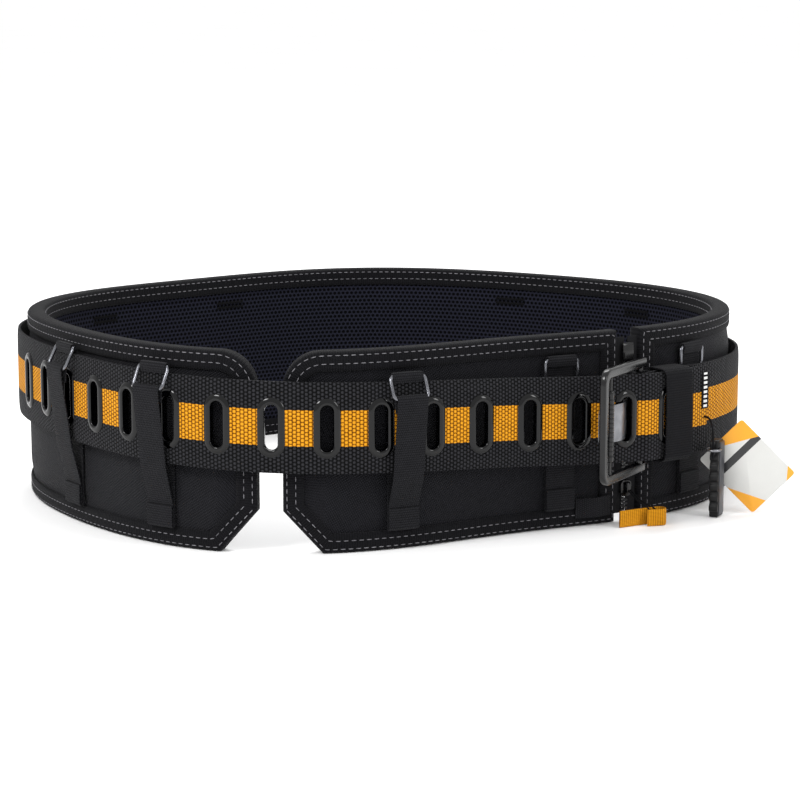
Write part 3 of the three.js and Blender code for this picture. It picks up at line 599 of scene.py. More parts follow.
# %% Binding
def panel_path(prefix):
    """The panel's edge as rows of (distance, height), with its mitre direction at each."""
    start, end, sign = PANELS[prefix]
    width = end - start
    run, rise = CHAMFER
    foot, head = (width, 0), (width, PAD_HEIGHT)
    keys = [((0, rise), 6, (run, 0), 6), ((run, 0), 6, foot, 13), (foot, 13, head, 13),
            (head, 13, (FLAP_RADIUS, PAD_HEIGHT), 4)]
    rows = []
    for a, skip_a, b, skip_b in keys:
        a, b = np.array(a, float), np.array(b, float)
        size = np.linalg.norm(b - a)
        rows.append(a)
        count = max(2, int((size - skip_a - skip_b) / 5))
        rows += [a + (b - a) * t / size for t in np.linspace(skip_a, size - skip_b, count)]
    for k in range(0, 13):
        a = math.radians(90 * k / 12)
        rows.append(np.array([FLAP_RADIUS - FLAP_RADIUS * math.sin(a),
                              PAD_HEIGHT - FLAP_RADIUS + FLAP_RADIUS * math.cos(a)]))
    rows += [np.array([0, z]) for z in np.linspace(PAD_HEIGHT - FLAP_RADIUS - 4, rise + 6, 14)]
    path = np.array(rows)
    back, ahead = path - np.roll(path, 1, 0), np.roll(path, -1, 0) - path
    left = [np.stack([-v[:, 1], v[:, 0]], 1) / np.linalg.norm(v, axis=1)[:, None] for v in (back, ahead)]
    mitre = (left[0] + left[1]) / (1 + (left[0] * left[1]).sum(1))[:, None]
    path[:, 0] = (start + path[:, 0]) if sign > 0 else (end - path[:, 0])
    mitre[:, 0] *= sign
    return path, mitre


half_skin = [(12.6, 5.5), (12.2, 6.1), (10.2, 6.5), (7.8, 6.0), (5.2, 6.45), (2.6, 5.95), (1.0, 5.5),
             (0.25, 4.2), (0.0, 2.4)]
half_lining = [(12.5, 4.7), (1.7, 4.7), (1.0, 3.0)]
tape_section = np.array(half_skin + [(d, -o) for d, o in half_skin[::-1]]
                        + [(d, -o) for d, o in half_lining] + half_lining[::-1])
STITCH_ROWS, STITCH, STITCH_PITCH, STITCH_OFFSET = (2.6, 7.8), 3.0, 4.8, 6.25


def stitches(starts, ends, out, thick=0.28):
    """One small thread capsule for each row of start and end, lifted along out."""
    reach = (ends - starts)
    side = np.cross(reach, out)
    side /= np.linalg.norm(side, axis=1)[:, None]
    verts = []
    for t, r in ((0, 0.35), (0.18, 0.9), (0.5, 1), (0.82, 0.9), (1, 0.35)):
        centre = starts + reach * t - out * (0.35 * MM * (1 - r))
        for a in np.linspace(0, 2 * np.pi, 6, endpoint=False):
            verts.append(centre + (side * math.cos(a) + out * math.sin(a)) * thick * r * MM)
    verts = np.stack(verts, 1)
    template = [(6 * i + j, 6 * i + (j + 1) % 6, 6 * i + 6 + (j + 1) % 6, 6 * i + 6 + j)
                for i in range(4) for j in range(6)] + [tuple(range(5, -1, -1)), tuple(range(24, 30))]
    faces = [tuple(k + 30 * n for k in face) for n in range(len(starts)) for face in template]
    return verts.reshape(-1, 3), faces, [(0, 0)] * sum(map(len, faces))


thread_parts = []
for prefix in PANELS:
    path, mitre = panel_path(prefix)
    rows = [place(path[:, 0] + mitre[:, 0] * d, offset, path[:, 1] + mitre[:, 1] * d)
            for d, offset in tape_section]
    tape = make_piece(f"{prefix}_edge_tape", *sweep(np.stack(rows, 1), closed=True), binding_tape, crease=60)
    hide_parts(f"{prefix}_binding")
    for d in STITCH_ROWS:
        line = path + mitre * d
        line = np.concatenate([line, line[:1]])
        run = np.concatenate([[0], np.cumsum(np.hypot(*np.diff(line, axis=0).T))])
        begin = np.arange(0, run[-1] - STITCH, STITCH_PITCH)
        for face in (1, -1):
            at = [place(np.interp(t, run, line[:, 0]), face * STITCH_OFFSET, np.interp(t, run, line[:, 1]))
                  for t in (begin, begin + STITCH)]
            _, _, normal = along(np.interp(begin, run, line[:, 0]))
            out = np.concatenate([normal * face, np.zeros((len(normal), 1))], 1)
            thread_parts.append(stitches(*at, out))
edge_stitches = make_piece("edge_stitches", *merge(thread_parts), grey_thread)
print("binding:", round(run[-1]), "mm of stitched edge; thread faces", len(edge_stitches.data.polygons))

# %% [markdown]
# ## Tapes and bands
#
# Straps, tabs and folds are all one thing: a flat tape bent along a path. The helper takes
# the path in two axes of a local frame and the width along the third, and thins the tape at
# its two woven edges, where the real one is tighter.

# %% Tape helper
def tape_body(path, thick, half, matrix, axes=(0, 1, 2), columns=9, keep=None, shift=0.0):
    """A tape of a width along a flat path; returns verts, faces and map for make_piece."""
    path = np.asarray(path, float)
    ahead = np.gradient(path, axis=0)
    ahead /= np.linalg.norm(ahead, axis=1)[:, None]
    normal = np.stack([-ahead[:, 1], ahead[:, 0]], 1)
    v = np.linspace(-1, 1, columns)
    half = np.broadcast_to(half, len(path))
    centre = np.broadcast_to(shift, len(path))
    grids = []
    for side in (1, -1):
        lift = side * thick / 2 * (1 - 0.45 * np.abs(v) ** 6)
        flat = path[:, None, :] + normal[:, None, :] * lift[None, :, None]
        grid = np.zeros((len(path), columns, 3))
        grid[..., axes[0]], grid[..., axes[1]] = flat[..., 0], flat[..., 1]
        grid[..., axes[2]] = centre[:, None] + half[:, None] * v
        grids.append(in_frame(grid, matrix))
    us = run_along(path)
    mask = None if keep is None else keep(path, v * half.max())
    return slab(*grids, us, v * half.max(), mask)


def arc(centre, size, start, end, steps=8):
    a = np.radians(np.linspace(start, end, steps + 1))
    return [(centre[0] + size * math.cos(t), centre[1] + size * math.sin(t)) for t in a]


print("helper: tape_body")

# %% [markdown]
# ## The webbing belt and its eyelets
#
# The belt starts behind the buckle, runs round the back and ends as the tail that passes
# through the buckle and under the keeper. Its height follows the pad with a slight tilt.
# The eyelet slots are left out of the grid cell by cell: the eyelet flanges cover the
# stepped edge, so no boolean is needed.

# %% Belt webbing
WEB_WIDTH, WEB_THICK = 57, 3
WEB_MIDDLE, WEB_TILT, WEB_HIGHEST_AT = 78, 8, 190
HINGE_S, HINGE_OFFSET, TAIL_END_S = 246, 20.4, 303
TONGUE_HOLE_S, EYELET_PITCH, EYELETS = 230.8, 34, 16
SLOT_CORE, EYELET_RADIUS = 10.25, 8.5
TAIL_ROWS = [(60, 12), (95, 14.5), (145, 19.5), (190, 24.6), (216, 26.6), (222, 26.9), (240, 26.9),
             (HINGE_S, 28.3), (258, 26.4), (272, 23.8), (TAIL_END_S, 20.8)]
MAIN_ROWS = [(HINGE_S, 16.2), (272, 14.4), (295, 13.8), (335, 12)]


def web_height(s):
    point, _, _ = along(s)
    angle = np.arctan2(point[..., 1] - RING_CENTRE[1], point[..., 0] - RING_CENTRE[0])
    return WEB_MIDDLE + WEB_TILT * np.cos(angle - math.radians(WEB_HIGHEST_AT))


def web_offset(u):
    return np.where(u < LENGTH / 2, smooth_through(MAIN_ROWS, u), smooth_through(TAIL_ROWS, u - LENGTH))


FINE_STEP = 0.05
fine = np.arange(LENGTH - 262, LENGTH + 300, FINE_STEP)
fine_points = place(fine, web_offset(fine), 0)[:, :2] / MM


def next_hole(first, direction):
    """Index of the fine point one pitch from the first, back (-1) or on (1) along the webbing."""
    near = fine_points[:first][::-1] if direction < 0 else fine_points[first:]
    gap = np.hypot(*(near - fine_points[first]).T)
    steps = int(np.argmax(gap >= EYELET_PITCH)) + (direction < 0)
    return first + direction * steps


hole_index = [int(round((LENGTH + TONGUE_HOLE_S - fine[0]) / FINE_STEP))]
for _ in range(EYELETS - 2):
    hole_index.insert(0, next_hole(hole_index[0], -1))
hole_index.append(next_hole(hole_index[-1], 1))
holes = fine[hole_index]

u = np.arange(HINGE_S + 7.6, LENGTH + TAIL_END_S, 2.0)
v = np.linspace(-WEB_WIDTH / 2, WEB_WIDTH / 2, 31)
thin = WEB_THICK / 2 * (1 - 0.4 * np.abs(v / v[-1]) ** 10)
grid_s, grid_z = u[:, None] + 0 * v, web_height(u)[:, None] + v
sides = [place(grid_s, web_offset(u)[:, None] + sign * thin, grid_z) for sign in (1, -1)]
mid_u, mid_v = (u[:-1] + u[1:]) / 2, (v[:-1] + v[1:]) / 2
keep = np.ones((len(mid_u), len(mid_v)), bool)
for hole in holes:
    rise = np.maximum(np.abs(mid_v) - SLOT_CORE, 0)
    keep &= np.hypot(mid_u[:, None] - hole, rise[None, :]) > 6.4
webbing = make_piece("belt_webbing", *slab(*sides, u, v, keep), striped_webbing)
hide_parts("web_belt")
print("webbing:", round(u[-1] - u[0]), "mm long;", len(holes), "eyelet slots")

# %% [markdown]
# ## Eyelets
#
# Each eyelet is a steel tube with a flange rolled over on both faces. Its section is a
# rolled lip: low at the outer edge, highest near the bore, then down into the slot. That
# curve is what catches the light as two thin crescents.

# %% Eyelets
def stadium(r, steps=16):
    """Slot outline at distance r from its core line, the long way up."""
    rows = []
    for start, z in ((0, SLOT_CORE), (180, -SLOT_CORE)):
        a = np.radians(np.linspace(start, start + 180, steps + 1))
        rows.append(np.stack([r * np.cos(a), z + r * np.sin(a)], 1))
    return np.concatenate(rows)


lip = [(4.1, 1.7), (4.2, 2.35), (4.6, 2.8), (5.3, 2.98), (6.2, 2.95), (7.2, 2.72), (8.0, 2.35),
       (EYELET_RADIUS, 1.9),
       (8.4, 1.62)]
eyelet_section = lip + [(5.0, 1.45)] + [(5.0, -1.45)] + [(r, -y) for r, y in lip[::-1]]
eyelet_rows = np.stack([np.insert(stadium(r), 1, y, axis=1) for r, y in eyelet_section], 1)
for number, hole in enumerate(holes, 1):
    a, b = (place(hole + k, web_offset(np.float64(hole + k)), 0)[0] for k in (-9.5, 9.5))
    back = (a - b) / np.linalg.norm(a - b)
    matrix = np.eye(4)
    matrix[:3, 0], matrix[:3, 1] = back, (-back[1], back[0], 0)
    matrix[:3, 3] = [*((a + b) / 2)[:2], float(web_height(np.float64(hole))) * MM]
    eyelet = make_piece(f"eyelet_{number:02d}", *sweep(in_frame(eyelet_rows, matrix), closed=True),
                        gloss_enamel, crease=50)
    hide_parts(f"grommet_{number:02d}")
print("eyelets:", len(holes), "of", 2 * EYELET_RADIUS, "mm wide")

# %% [markdown]
# ## Buckle
#
# The buckle is flat steel bar bent to a frame, with a round hinge bar that the webbing end
# is folded round, a roller, and a wide flat tongue. Bar stock has small soft edges: those
# edges, not the flat faces, carry the bright lines, so the section is a rounded rectangle.

# %% Buckle frame, roller and tongue
TILT = 29
buckle_z = float(web_height(np.float64(HINGE_S)))
hinge = local_frame(HINGE_S, HINGE_OFFSET, buckle_z)
tilted = local_frame(HINGE_S, HINGE_OFFSET, buckle_z, TILT)
FRONT_BAR, SIDE_BAR, BAND, BAR_THICK = 55.25, 34.25, 6.5, 4.5


def turned(radii, x=0.0, sides=24):
    """A turned body along z at x, from rows of (height, radius)."""
    rows = [np.concatenate([round_section(2 * r, sides) + (x, 0), np.full((sides, 1), z)], 1)
            for z, r in radii]
    return np.array(rows)


u_path = fillet([(-5.6, -SIDE_BAR), (FRONT_BAR, -SIDE_BAR), (FRONT_BAR, SIDE_BAR), (-5.6, SIDE_BAR)], 7, 8)
u_path = np.stack([u_path[:, 0], np.zeros(len(u_path)), u_path[:, 1]], 1)
bar_section = rounded_box(BAND, BAR_THICK, 1.3, 4)
frame_rows = rail(u_path, bar_section, (0, 1, 0))
ends = [0.35, 0.8, 1]
frame_rows = np.concatenate([
    *[u_path[:1, None] + (-0.9 * (1 - k), 0, 0) + (frame_rows[:1] - u_path[:1, None]) * k for k in ends[:2]],
    frame_rows,
    *[u_path[-1:, None] + (-0.9 * (1 - k), 0, 0) + (frame_rows[-1:] - u_path[-1:, None]) * k
      for k in ends[1::-1]]])
parts = [sweep(in_frame(frame_rows, tilted)),
         sweep(in_frame(turned([(-32.5, 2.4), (32.5, 2.4)]), tilted)),
         sweep(in_frame(turned([(-32, 1.3), (32, 1.3)], 46, 14), tilted))]
buckle_body = make_piece("buckle_bar_frame", *merge(parts), satin_coat, "buckle", 50)
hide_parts("buckle_frame")

groove = [(-23, 1.9), (-22.4, 2.45), (-21.5, 2.6)]
for z in np.linspace(-18, 18, 13):
    groove += [(z - 0.5, 2.6), (z, 2.35), (z + 0.5, 2.6)]
groove += [(-z, r) for z, r in groove[2::-1]]
roller = make_piece("ribbed_roller", *sweep(in_frame(turned(groove, 46), tilted)), satin_coat, "roller", 60)
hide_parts("buckle_roller")

tongue_path = resample(fillet([(3.6, 0), (11.4, 0.2), (21.6, 11.8), (47, 20.2)], 5), 1.5)
blade_half = 12 - 2.2 * ease((tongue_path[:, 0] - 43) / 4) ** 2
collar = [turned([(-12, 4.25), (12, 4.25)]), turned([(12, 2.75), (-12, 2.75)])]
parts = [tape_body(tongue_path, 1.6, blade_half, hinge, columns=11),
         sweep(in_frame(np.concatenate(collar), hinge), closed=True)]
tongue = make_piece("flat_tongue", *merge(parts), gunmetal, "tongue", 45)
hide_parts("buckle_tongue")
print("buckle:", 2 * SIDE_BAR + BAND, "mm tall, tilted", TILT, "degrees")

# %% [markdown]
# ## Folded end of the webbing
#
# The webbing turns back round the hinge bar and is sewn to itself, with a notch where the
# tongue's collar sits. Bar tacks, dense zigzags of thread, hold the fold.

# %% Folded end and bar tacks
fold_path = np.array([(-7.2, -4.2), *arc((0, 0), 4.2, -90, 90, 12)])
fold_tail = fillet([(-1, 4.2), (-10, 0.6), (-19, -2.9), (-30, -4.5), (-42, -6.9)], 4)
fold_path = resample(np.concatenate([fold_path, fold_tail[1:]]), 1.3)
fold = make_piece("webbing_fold", *tape_body(
    fold_path, 2.9, WEB_WIDTH / 2, hinge, columns=31,
    keep=lambda p, v: ~((p[:-1, 0] > -5)[:, None] & (np.abs((v[:-1] + v[1:]) / 2) < 13.5)[None, :])),
    striped_webbing)
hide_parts("buckle_fold")


def bar_tack(s, offset, z, width, height, degrees=0):
    """A dense zigzag of thread, as a row of short raised threads."""
    matrix = local_frame(s, offset, z, degrees)
    x = np.arange(-width / 2, width / 2, 0.9)
    flip = np.where(np.arange(len(x)) % 2, 1, -1) * height / 2
    a = in_frame(np.stack([x, 0 * x, flip], 1), matrix)
    b = in_frame(np.stack([x + 0.9, 0 * x, -flip], 1), matrix)
    return stitches(a, b, np.repeat(matrix[None, :3, 1], len(x), 0) * np.sign(offset), 0.4)


# The loops' inner ends are sewn through the pad: their tacks show inside, under the rim.
LOOPS = [(-162, False), (-72, False), (79, False), (195, True), (301, True),
         (526, False), (644, False), (887, False), (1006, False)]
tacks = [bar_tack(s, -6.3, 107 + dz, 24, 2.2) for s, _ in LOOPS for dz in (0, -3.4)]
lining_tacks = make_piece("lining_bar_tacks", *merge(tacks), black_thread)
print("fold:", len(fold.data.polygons), "faces;", len(tacks), "bar tacks")

# %% [markdown]
# ## Hanging rings on their webbing loops
#
# A loop of webbing is sewn low on the pad. Its back layer goes up behind the belt and is
# folded over the ring's upper bar. Its front layer comes up over the belt and is folded
# over the lower bar. The ring swings on the upper bar; the front layer is drawn once, out
# to the ring where it hangs, and does not follow it.

# %% Rings and loops
RING_WIRE, RING_SPAN, RING_REACH = 2.4, 23.6, 15.2
STRAP_THICK, STRAP_HALF = 1.2, 10.3
WRAP = RING_WIRE / 2 + STRAP_THICK / 2 + 0.1
FOOT, HEM = 13, 27
TUCKED_TOP, BEND_DROPS = (9.2, 112), (34, 10)


def belt_offset(s):
    return float(smooth_through(TAIL_ROWS, np.float64(s))) if s < HINGE_S else 12.0


for number, (s, tucked) in enumerate(LOOPS, 1):
    mid = float(web_height(np.float64(s)))
    belt_top, belt_low = mid + WEB_WIDTH / 2, mid - WEB_WIDTH / 2
    top = TUCKED_TOP if tucked else (belt_offset(s) + 1.2, belt_top + 4)
    lean = 0 if tucked else math.asin(7 / RING_REACH)
    low = (top[0] + RING_REACH * math.sin(lean), top[1] - RING_REACH * math.cos(lean))
    body = f"ring_{number}"

    outline = rounded_box(RING_SPAN, RING_REACH, 3.2, 5) - (0, RING_REACH / 2)
    wire_path = np.stack([outline[:, 0], -outline[:, 1] * math.sin(lean), outline[:, 1] * math.cos(lean)], 1)
    across = (0, math.cos(lean), math.sin(lean))
    wire = rail(wire_path, round_section(RING_WIRE, 12), across, closed=True)
    ring_piece = make_piece(f"wire_ring_{number}", *sweep(in_frame(wire, local_frame(s, *top)), closed=True),
                            ring_steel, body, 60)
    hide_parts(f"loop_ring_{number}")

    base = local_frame(s, 0, 0)
    inner = 7.1 if tucked else 7.6
    back = [(inner, FOOT), (inner, HEM), (inner, top[1] - 13), (top[0] - WRAP, top[1] - 2.5),
            *arc(top, WRAP, 180, 0), (top[0] + WRAP - 0.2, top[1] - 1.4), (top[0] + 0.8, top[1] - 4.4)]
    back = resample(fillet(back, 6), 1.6)
    back_strap = make_piece(f"loop_back_{number}", *tape_body(back, STRAP_THICK, STRAP_HALF, base, (1, 2, 0)),
                            loop_webbing)
    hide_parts(f"loop_strap_{number}")

    outer = inner + 1.4
    wrap = [*arc(low, WRAP, 0, 180), (low[0] - WRAP + 0.2, low[1] - 4), (low[0] - WRAP + 0.5, low[1] - 9)]
    fold_in = [(outer + 1.5, HEM), (outer + 1.5, FOOT + 1), (outer + 0.8, FOOT - 0.2), (outer, FOOT + 1)]
    if tucked:
        front = [*fold_in, (outer, HEM), (low[0] + WRAP - 1.2, low[1] - 6), *wrap]
    else:
        reach = belt_offset(s)
        front = [*fold_in, (outer, HEM), (reach + 3.8, belt_low - 3), (reach + 5.0, belt_low + 8),
                 (low[0] + WRAP - 0.5, low[1] - 8), *wrap]
    front = resample(fillet(front, 5), 1.6)
    front_strap = make_piece(f"loop_front_{number}",
                             *tape_body(front, STRAP_THICK, STRAP_HALF, base, (1, 2, 0)), loop_webbing, None)
    bend = [place(s, low[0], z)[0] for z in (low[1] - drop for drop in BEND_DROPS)]
    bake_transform(front_strap)
print("rings:", len(LOOPS), "with", 2 * STRAP_HALF, "mm webbing")

# %% [markdown]
# ## Keeper, label and grab loop
#
# The keeper is a ring of ribbed webbing that holds the tail down. It slides along the belt,
# so it rides on its own body. The label carries plain bars only, woven in a lighter thread.

# %% Keeper and small tapes
KEEPER_S, KEEPER_LOW, KEEPER_HIGH = 268.5, 9.6, 31.6
keeper_z = float(web_height(np.float64(KEEPER_S)))
keeper_matrix = local_frame(KEEPER_S, (KEEPER_LOW + KEEPER_HIGH) / 2, keeper_z)
loop = rounded_box(KEEPER_HIGH - KEEPER_LOW - 1.4, WEB_WIDTH + 5 - 1.4, 5, 8)
loop = resample(np.concatenate([loop, loop[:1]]), 1.5)[:-1]
loop[:, 0] += 0.35 * np.cos(loop[:, 1] / 12) * np.sign(loop[:, 0])
loop = np.stack([0 * loop[:, 0], loop[:, 0], loop[:, 1]], 1)
band = np.linspace(-1, 1, 9)
flat_section = np.stack([0.7 * (1 - 0.4 * np.abs(band) ** 6), 11.5 * band], 1)
flat_section = np.concatenate([flat_section, (flat_section * (-1, 1))[::-1]])
keeper = make_piece("keeper_band", *sweep(
    in_frame(rail(loop, flat_section, (1, 0, 0), closed=True), keeper_matrix), closed=True), binding_tape,
    "keeper", 60)
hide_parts("keeper")

GRAB_S, GRAB_Z = 220.5, 12.5
grab_path = resample(fillet([(-13, 7.2), (-9, 8.5), (0, 10.7), (9, 8.5), (13, 7.2)], 4), 1.2)
grab = make_piece("grab_tape", *tape_body(grab_path, 1.2, 6.5, local_frame(GRAB_S, 0, GRAB_Z)), loop_webbing)
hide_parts("grab_loop")

label_cloth, shader = start_material("damask_label_with_bars", Roughness=0.7, Specular_IOR_Level=YARN_GLOSS)
height, parts = weave_height(label_cloth, 0.8, 0.8)
bars = maths(label_cloth, "DIVIDE", parts[1], 3.1)
share = maths(label_cloth, "FRACT", bars)
lit = maths(label_cloth, "GREATER_THAN", share, 0.45)
band_low = maths(label_cloth, "GREATER_THAN", parts[0], 1.6)
band_high = maths(label_cloth, "LESS_THAN", parts[0], 5.4)
both = maths(label_cloth, "MULTIPLY", band_low, band_high)
shown = maths(label_cloth, "MULTIPLY", both, lit)
colour = ramp(label_cloth, shown, [(0.0, "#101012"), (1.0, "#d6d6d4")])
bump = node(label_cloth, "ShaderNodeBump", {"Height": height, "Distance": 0.08 * MM})
wire_up(label_cloth, shader, Base_Color=colour, Normal=bump.outputs[0])
LABEL_S = TAIL_END_S - 5
label_y = float(smooth_through(TAIL_ROWS, np.float64(LABEL_S))) + WEB_THICK / 2 + 0.7
label_matrix = local_frame(LABEL_S, label_y, float(web_height(np.float64(LABEL_S))) + 12)
label_path = np.stack([np.linspace(-3.5, 3.5, 9), 0.1 * np.cos(np.linspace(-1.5, 1.5, 9))], 1)
label = make_piece("woven_label", *tape_body(label_path, 0.5, 12, label_matrix, columns=15), label_cloth)
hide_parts("tail_label")
print("keeper, grab tape and label made")

# %% [markdown]
# ## Zipper
#
# The two pad ends meet at a separating zipper: two cloth tapes, each with a row of moulded
# teeth that lock between each other. Teeth are small but they catch the light one by one,
# so they are real blocks here, 2.5 mm apart on each side and half a step out of phase.

# %% Zipper tapes and teeth
ZIP_OFFSET, ZIP_LOW, ZIP_HIGH, TOOTH_PITCH = 2.0, 6, 121, 2.54
zip_matrix = local_frame(ZIP_S, ZIP_OFFSET, 0)


def plate(outline, low, high, bevel, matrix, steps=3):
    """A flat body from an outline in the local x-z plane, thick along y, with soft edges."""
    outline = np.asarray(outline, float)
    ahead = np.roll(outline, -1, 0) - np.roll(outline, 1, 0)
    ahead /= np.maximum(np.linalg.norm(ahead, axis=1), 1e-9)[:, None]
    inward = np.stack([-ahead[:, 1], ahead[:, 0]], 1)
    rows = []
    for k in range(steps + 1):
        a = math.pi / 2 * k / steps
        rows.append((low + bevel * (1 - math.sin(a)), bevel * (1 - math.cos(a))))
    rows = [(y, d) for y, d in rows[::-1]]
    rows += [(low + high - y, d) for y, d in rows[::-1]]
    sections = []
    for y, d in rows:
        flat = outline + inward * d
        sections.append(np.stack([flat[:, 0], np.full(len(flat), y), flat[:, 1]], 1))
    sections = np.array(sections)
    verts, faces, _ = sweep(in_frame(sections, matrix))
    flat = sections.reshape(-1, 3)
    return verts, faces, [(flat[k, 0], flat[k, 2]) for face in faces for k in face]


teeth_outline = rounded_box(2.9, 1.5, 0.4, 2)
for name, side, phase in (("front", 1, 0), ("wrap", -1, 0.5)):
    tape_path = np.stack([np.linspace(side * 1.4, side * 9.2, 8), np.zeros(8)], 1)
    tape_matrix = local_frame(ZIP_S, ZIP_OFFSET, (ZIP_LOW + ZIP_HIGH) / 2)
    cloth_tape = make_piece(f"zip_cloth_{name}", *tape_body(
        tape_path, 0.8, (ZIP_HIGH - ZIP_LOW) / 2 + 1, tape_matrix, columns=40), zipper_cloth)
    rises = np.arange(ZIP_LOW + 22 + phase * TOOTH_PITCH, ZIP_HIGH - 3, TOOTH_PITCH)
    low_rises = np.arange(ZIP_LOW + 1 + phase * TOOTH_PITCH, ZIP_LOW + 9, TOOTH_PITCH)
    teeth = [plate(teeth_outline + (side * 1.15, z), -1.35, 1.35, 0.35, zip_matrix, 1)
             for z in (*low_rises, *rises)]
    row = make_piece(f"zip_teeth_{name}", *merge(teeth), moulded_teeth, crease=30)
    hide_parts(f"zip_tape_{name}")
print("zipper:", len(rises), "teeth above the slider on each side")

# %% Slider, stop and pull tab
SLIDER_Z = 16
slider_outline = rounded_box(9, 11, 3, 5) + (0, SLIDER_Z + 5.5)
slider_outline[:, 0] *= 1 - 0.12 * (SLIDER_Z + 11 - slider_outline[:, 1]) / 11
parts = [plate(slider_outline, 1.8, 3.2, 0.4, zip_matrix), plate(slider_outline, -3.2, -1.8, 0.4, zip_matrix),
         plate(rounded_box(1.2, 2, 0.3, 2) + (0, SLIDER_Z + 1.4), -2, 2, 0.1, zip_matrix, 1)]
for side in (-1, 1):
    parts.append(plate(rounded_box(0.9, 6, 0.3, 2) + (side * 3.9, SLIDER_Z + 5.5), 0.9, 2.2, 0.15,
                       zip_matrix, 1))
crown = [np.array((0, y, z)) for y, z in fillet([(3.0, 19), (5.6, 19), (5.6, 25.5), (3.0, 25.5)], 1.6, 5)]
crown_rows = rail(np.array(crown), rounded_box(1.3, 3.0, 0.4, 2), (1, 0, 0))
parts.append(sweep(in_frame(crown_rows, zip_matrix)))
slider = make_piece("zip_slider_body", *merge(parts), satin_coat, "zip_slider", 45)
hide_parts("zip_slider")

stop_matrix = local_frame(ZIP_S, ZIP_OFFSET + 2.8, 112)
stop_line = resample(fillet([(-0.7, -6), (-0.1, -6), (0.4, 0), (-0.1, 6), (-0.7, 6)], 1), 1)
stop_path = [(0, y, z) for y, z in stop_line]
stop_rows = rail(np.array(stop_path), rounded_box(0.9, 8.6, 0.35, 3), (1, 0, 0))
stop = make_piece("zip_top_stop", *sweep(in_frame(stop_rows, stop_matrix)), satin_coat, "root", 60)
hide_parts("zip_stop")

PULL_WIDTH, PULL_THICK, PULL_OFFSET, PULL_SIDE = 11, 1.3, 21.2, 9.6
pull_path = [(27, 0), (14, 0.3), (2, 1.0), *arc((-1.5, 5.2), 4, 270, 90, 8), (2, 8.6), (9, 6.2)]
pull_matrix = local_frame(ZIP_S, PULL_OFFSET, 0.1 + PULL_WIDTH / 2)
pull_matrix[:3, 3] -= pull_matrix[:3, 0] * PULL_SIDE * MM
tab = make_piece("amber_pull_tab", *tape_body(resample(fillet(pull_path, 2), 1), PULL_THICK, PULL_WIDTH / 2,
                                              pull_matrix), amber_tape, "zip_slider")
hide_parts("zip_pull")
print("slider and tab:", len(slider.data.polygons) + len(tab.data.polygons), "faces")

# %% [markdown]
# ## Cords
#
# Two thin cords: a doubled loop from the zipper's slider to its tab, and a short tie that
# holds the spare clip. A curve with a round bevel is the simplest cord. Each one's length
# is measured along its own line and printed.

# %% Cords
def cord_piece(name, points, diameter, body):
    """A round cord through points in metres; returns the piece and its length in metres."""
    curve = bpy.data.curves.new(name, "CURVE")
    curve.dimensions = "3D"
    curve.bevel_depth = diameter / 2 * MM
    curve.bevel_resolution = 3
    curve.use_fill_caps = True
    line = curve.splines.new("POLY")
    line.points.add(len(points) - 1)
    for target, point in zip(line.points, points):
        target.co = (*point, 1)
    curve.materials.append(braided_cord)
    piece = bpy.data.objects.new(name, curve)
    bpy.context.scene.collection.objects.link(piece)
    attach(piece, body)
    return piece, float(np.linalg.norm(np.diff(points, axis=0), axis=1).sum())


def through(points, count):
    """A smooth curve through points, as evenly counted points."""
    points = np.asarray(points, float)
    run = run_along(points)
    t = np.linspace(0, run[-1], count)
    return np.stack([smooth_through(np.stack([run, points[:, k]], 1), t) for k in range(3)], 1)


STRAND_APART, TURN_WIDER = 0.9, 1.45
PULL_ROUTE = [(0, 6.4, 21.6), (-0.6, 9.0, 20.0), (-1.8, 13, 16.8), (-3.4, 17, 13.9),
              (-5.2, 20.4, 11.9), (-7, 23.0, 10.2), (-8.5, 24.6, 8.0)]
strand = through(PULL_ROUTE, 22)
# The two strands run side by side, a little apart at the slider and wider where the cord
# turns back through the tab, so that the turn is never tighter than two cord diameters.
spread = STRAND_APART + TURN_WIDER * np.linspace(0, 1, len(strand)) ** 3
ahead = np.gradient(strand, axis=0)
ahead /= np.linalg.norm(ahead, axis=1)[:, None]
across = np.array([1.0, 0, 0]) - ahead * ahead[:, :1]
across /= np.linalg.norm(across, axis=1)[:, None]
upper, lower = strand + across * spread[:, None], strand - across * spread[:, None]
last, onward = across[-1] * spread[-1], ahead[-1] * spread[-1]
bend = [strand[-1] + last * math.cos(a) + onward * math.sin(a)
        for a in np.radians(np.linspace(15, 165, 9))]
loop_line = in_frame(np.concatenate([upper, bend, lower[::-1]]), local_frame(ZIP_S, 0, 0))
pull_cord, pull_length = cord_piece("zip_pull_cord", loop_line, 1.1, "zip_slider")
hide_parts("zip_cord")

tie_line = through([(216.9, -98.4, 66), (218.3, -100.6, 66.2), (219.9, -104, 65.4), (221, -107.8, 62.4),
                    (221.4, -110.4, 58.4), (221.5, -111.6, 54), (221.6, -112, 49.6), (221.6, -111.9, 45),
                    (221.6, -111.8, 40.4)], 32)
tie_line = (tie_line - [*BOX_MIDDLE, 0]) * MM
tie, tie_length = cord_piece("clip_tie", tie_line, 1.4, "root")
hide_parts("clip_cord")
print("cords:", round(pull_length / MM), "mm doubled and", round(tie_length / MM), "mm")

# %% [markdown]
# ## Spare clip and card
#
# A moulded nylon clip hangs from the tail by its tie, with an information card on it. The
# card is generic: blocks of colour and a plain dark shape, with no words and no signs.

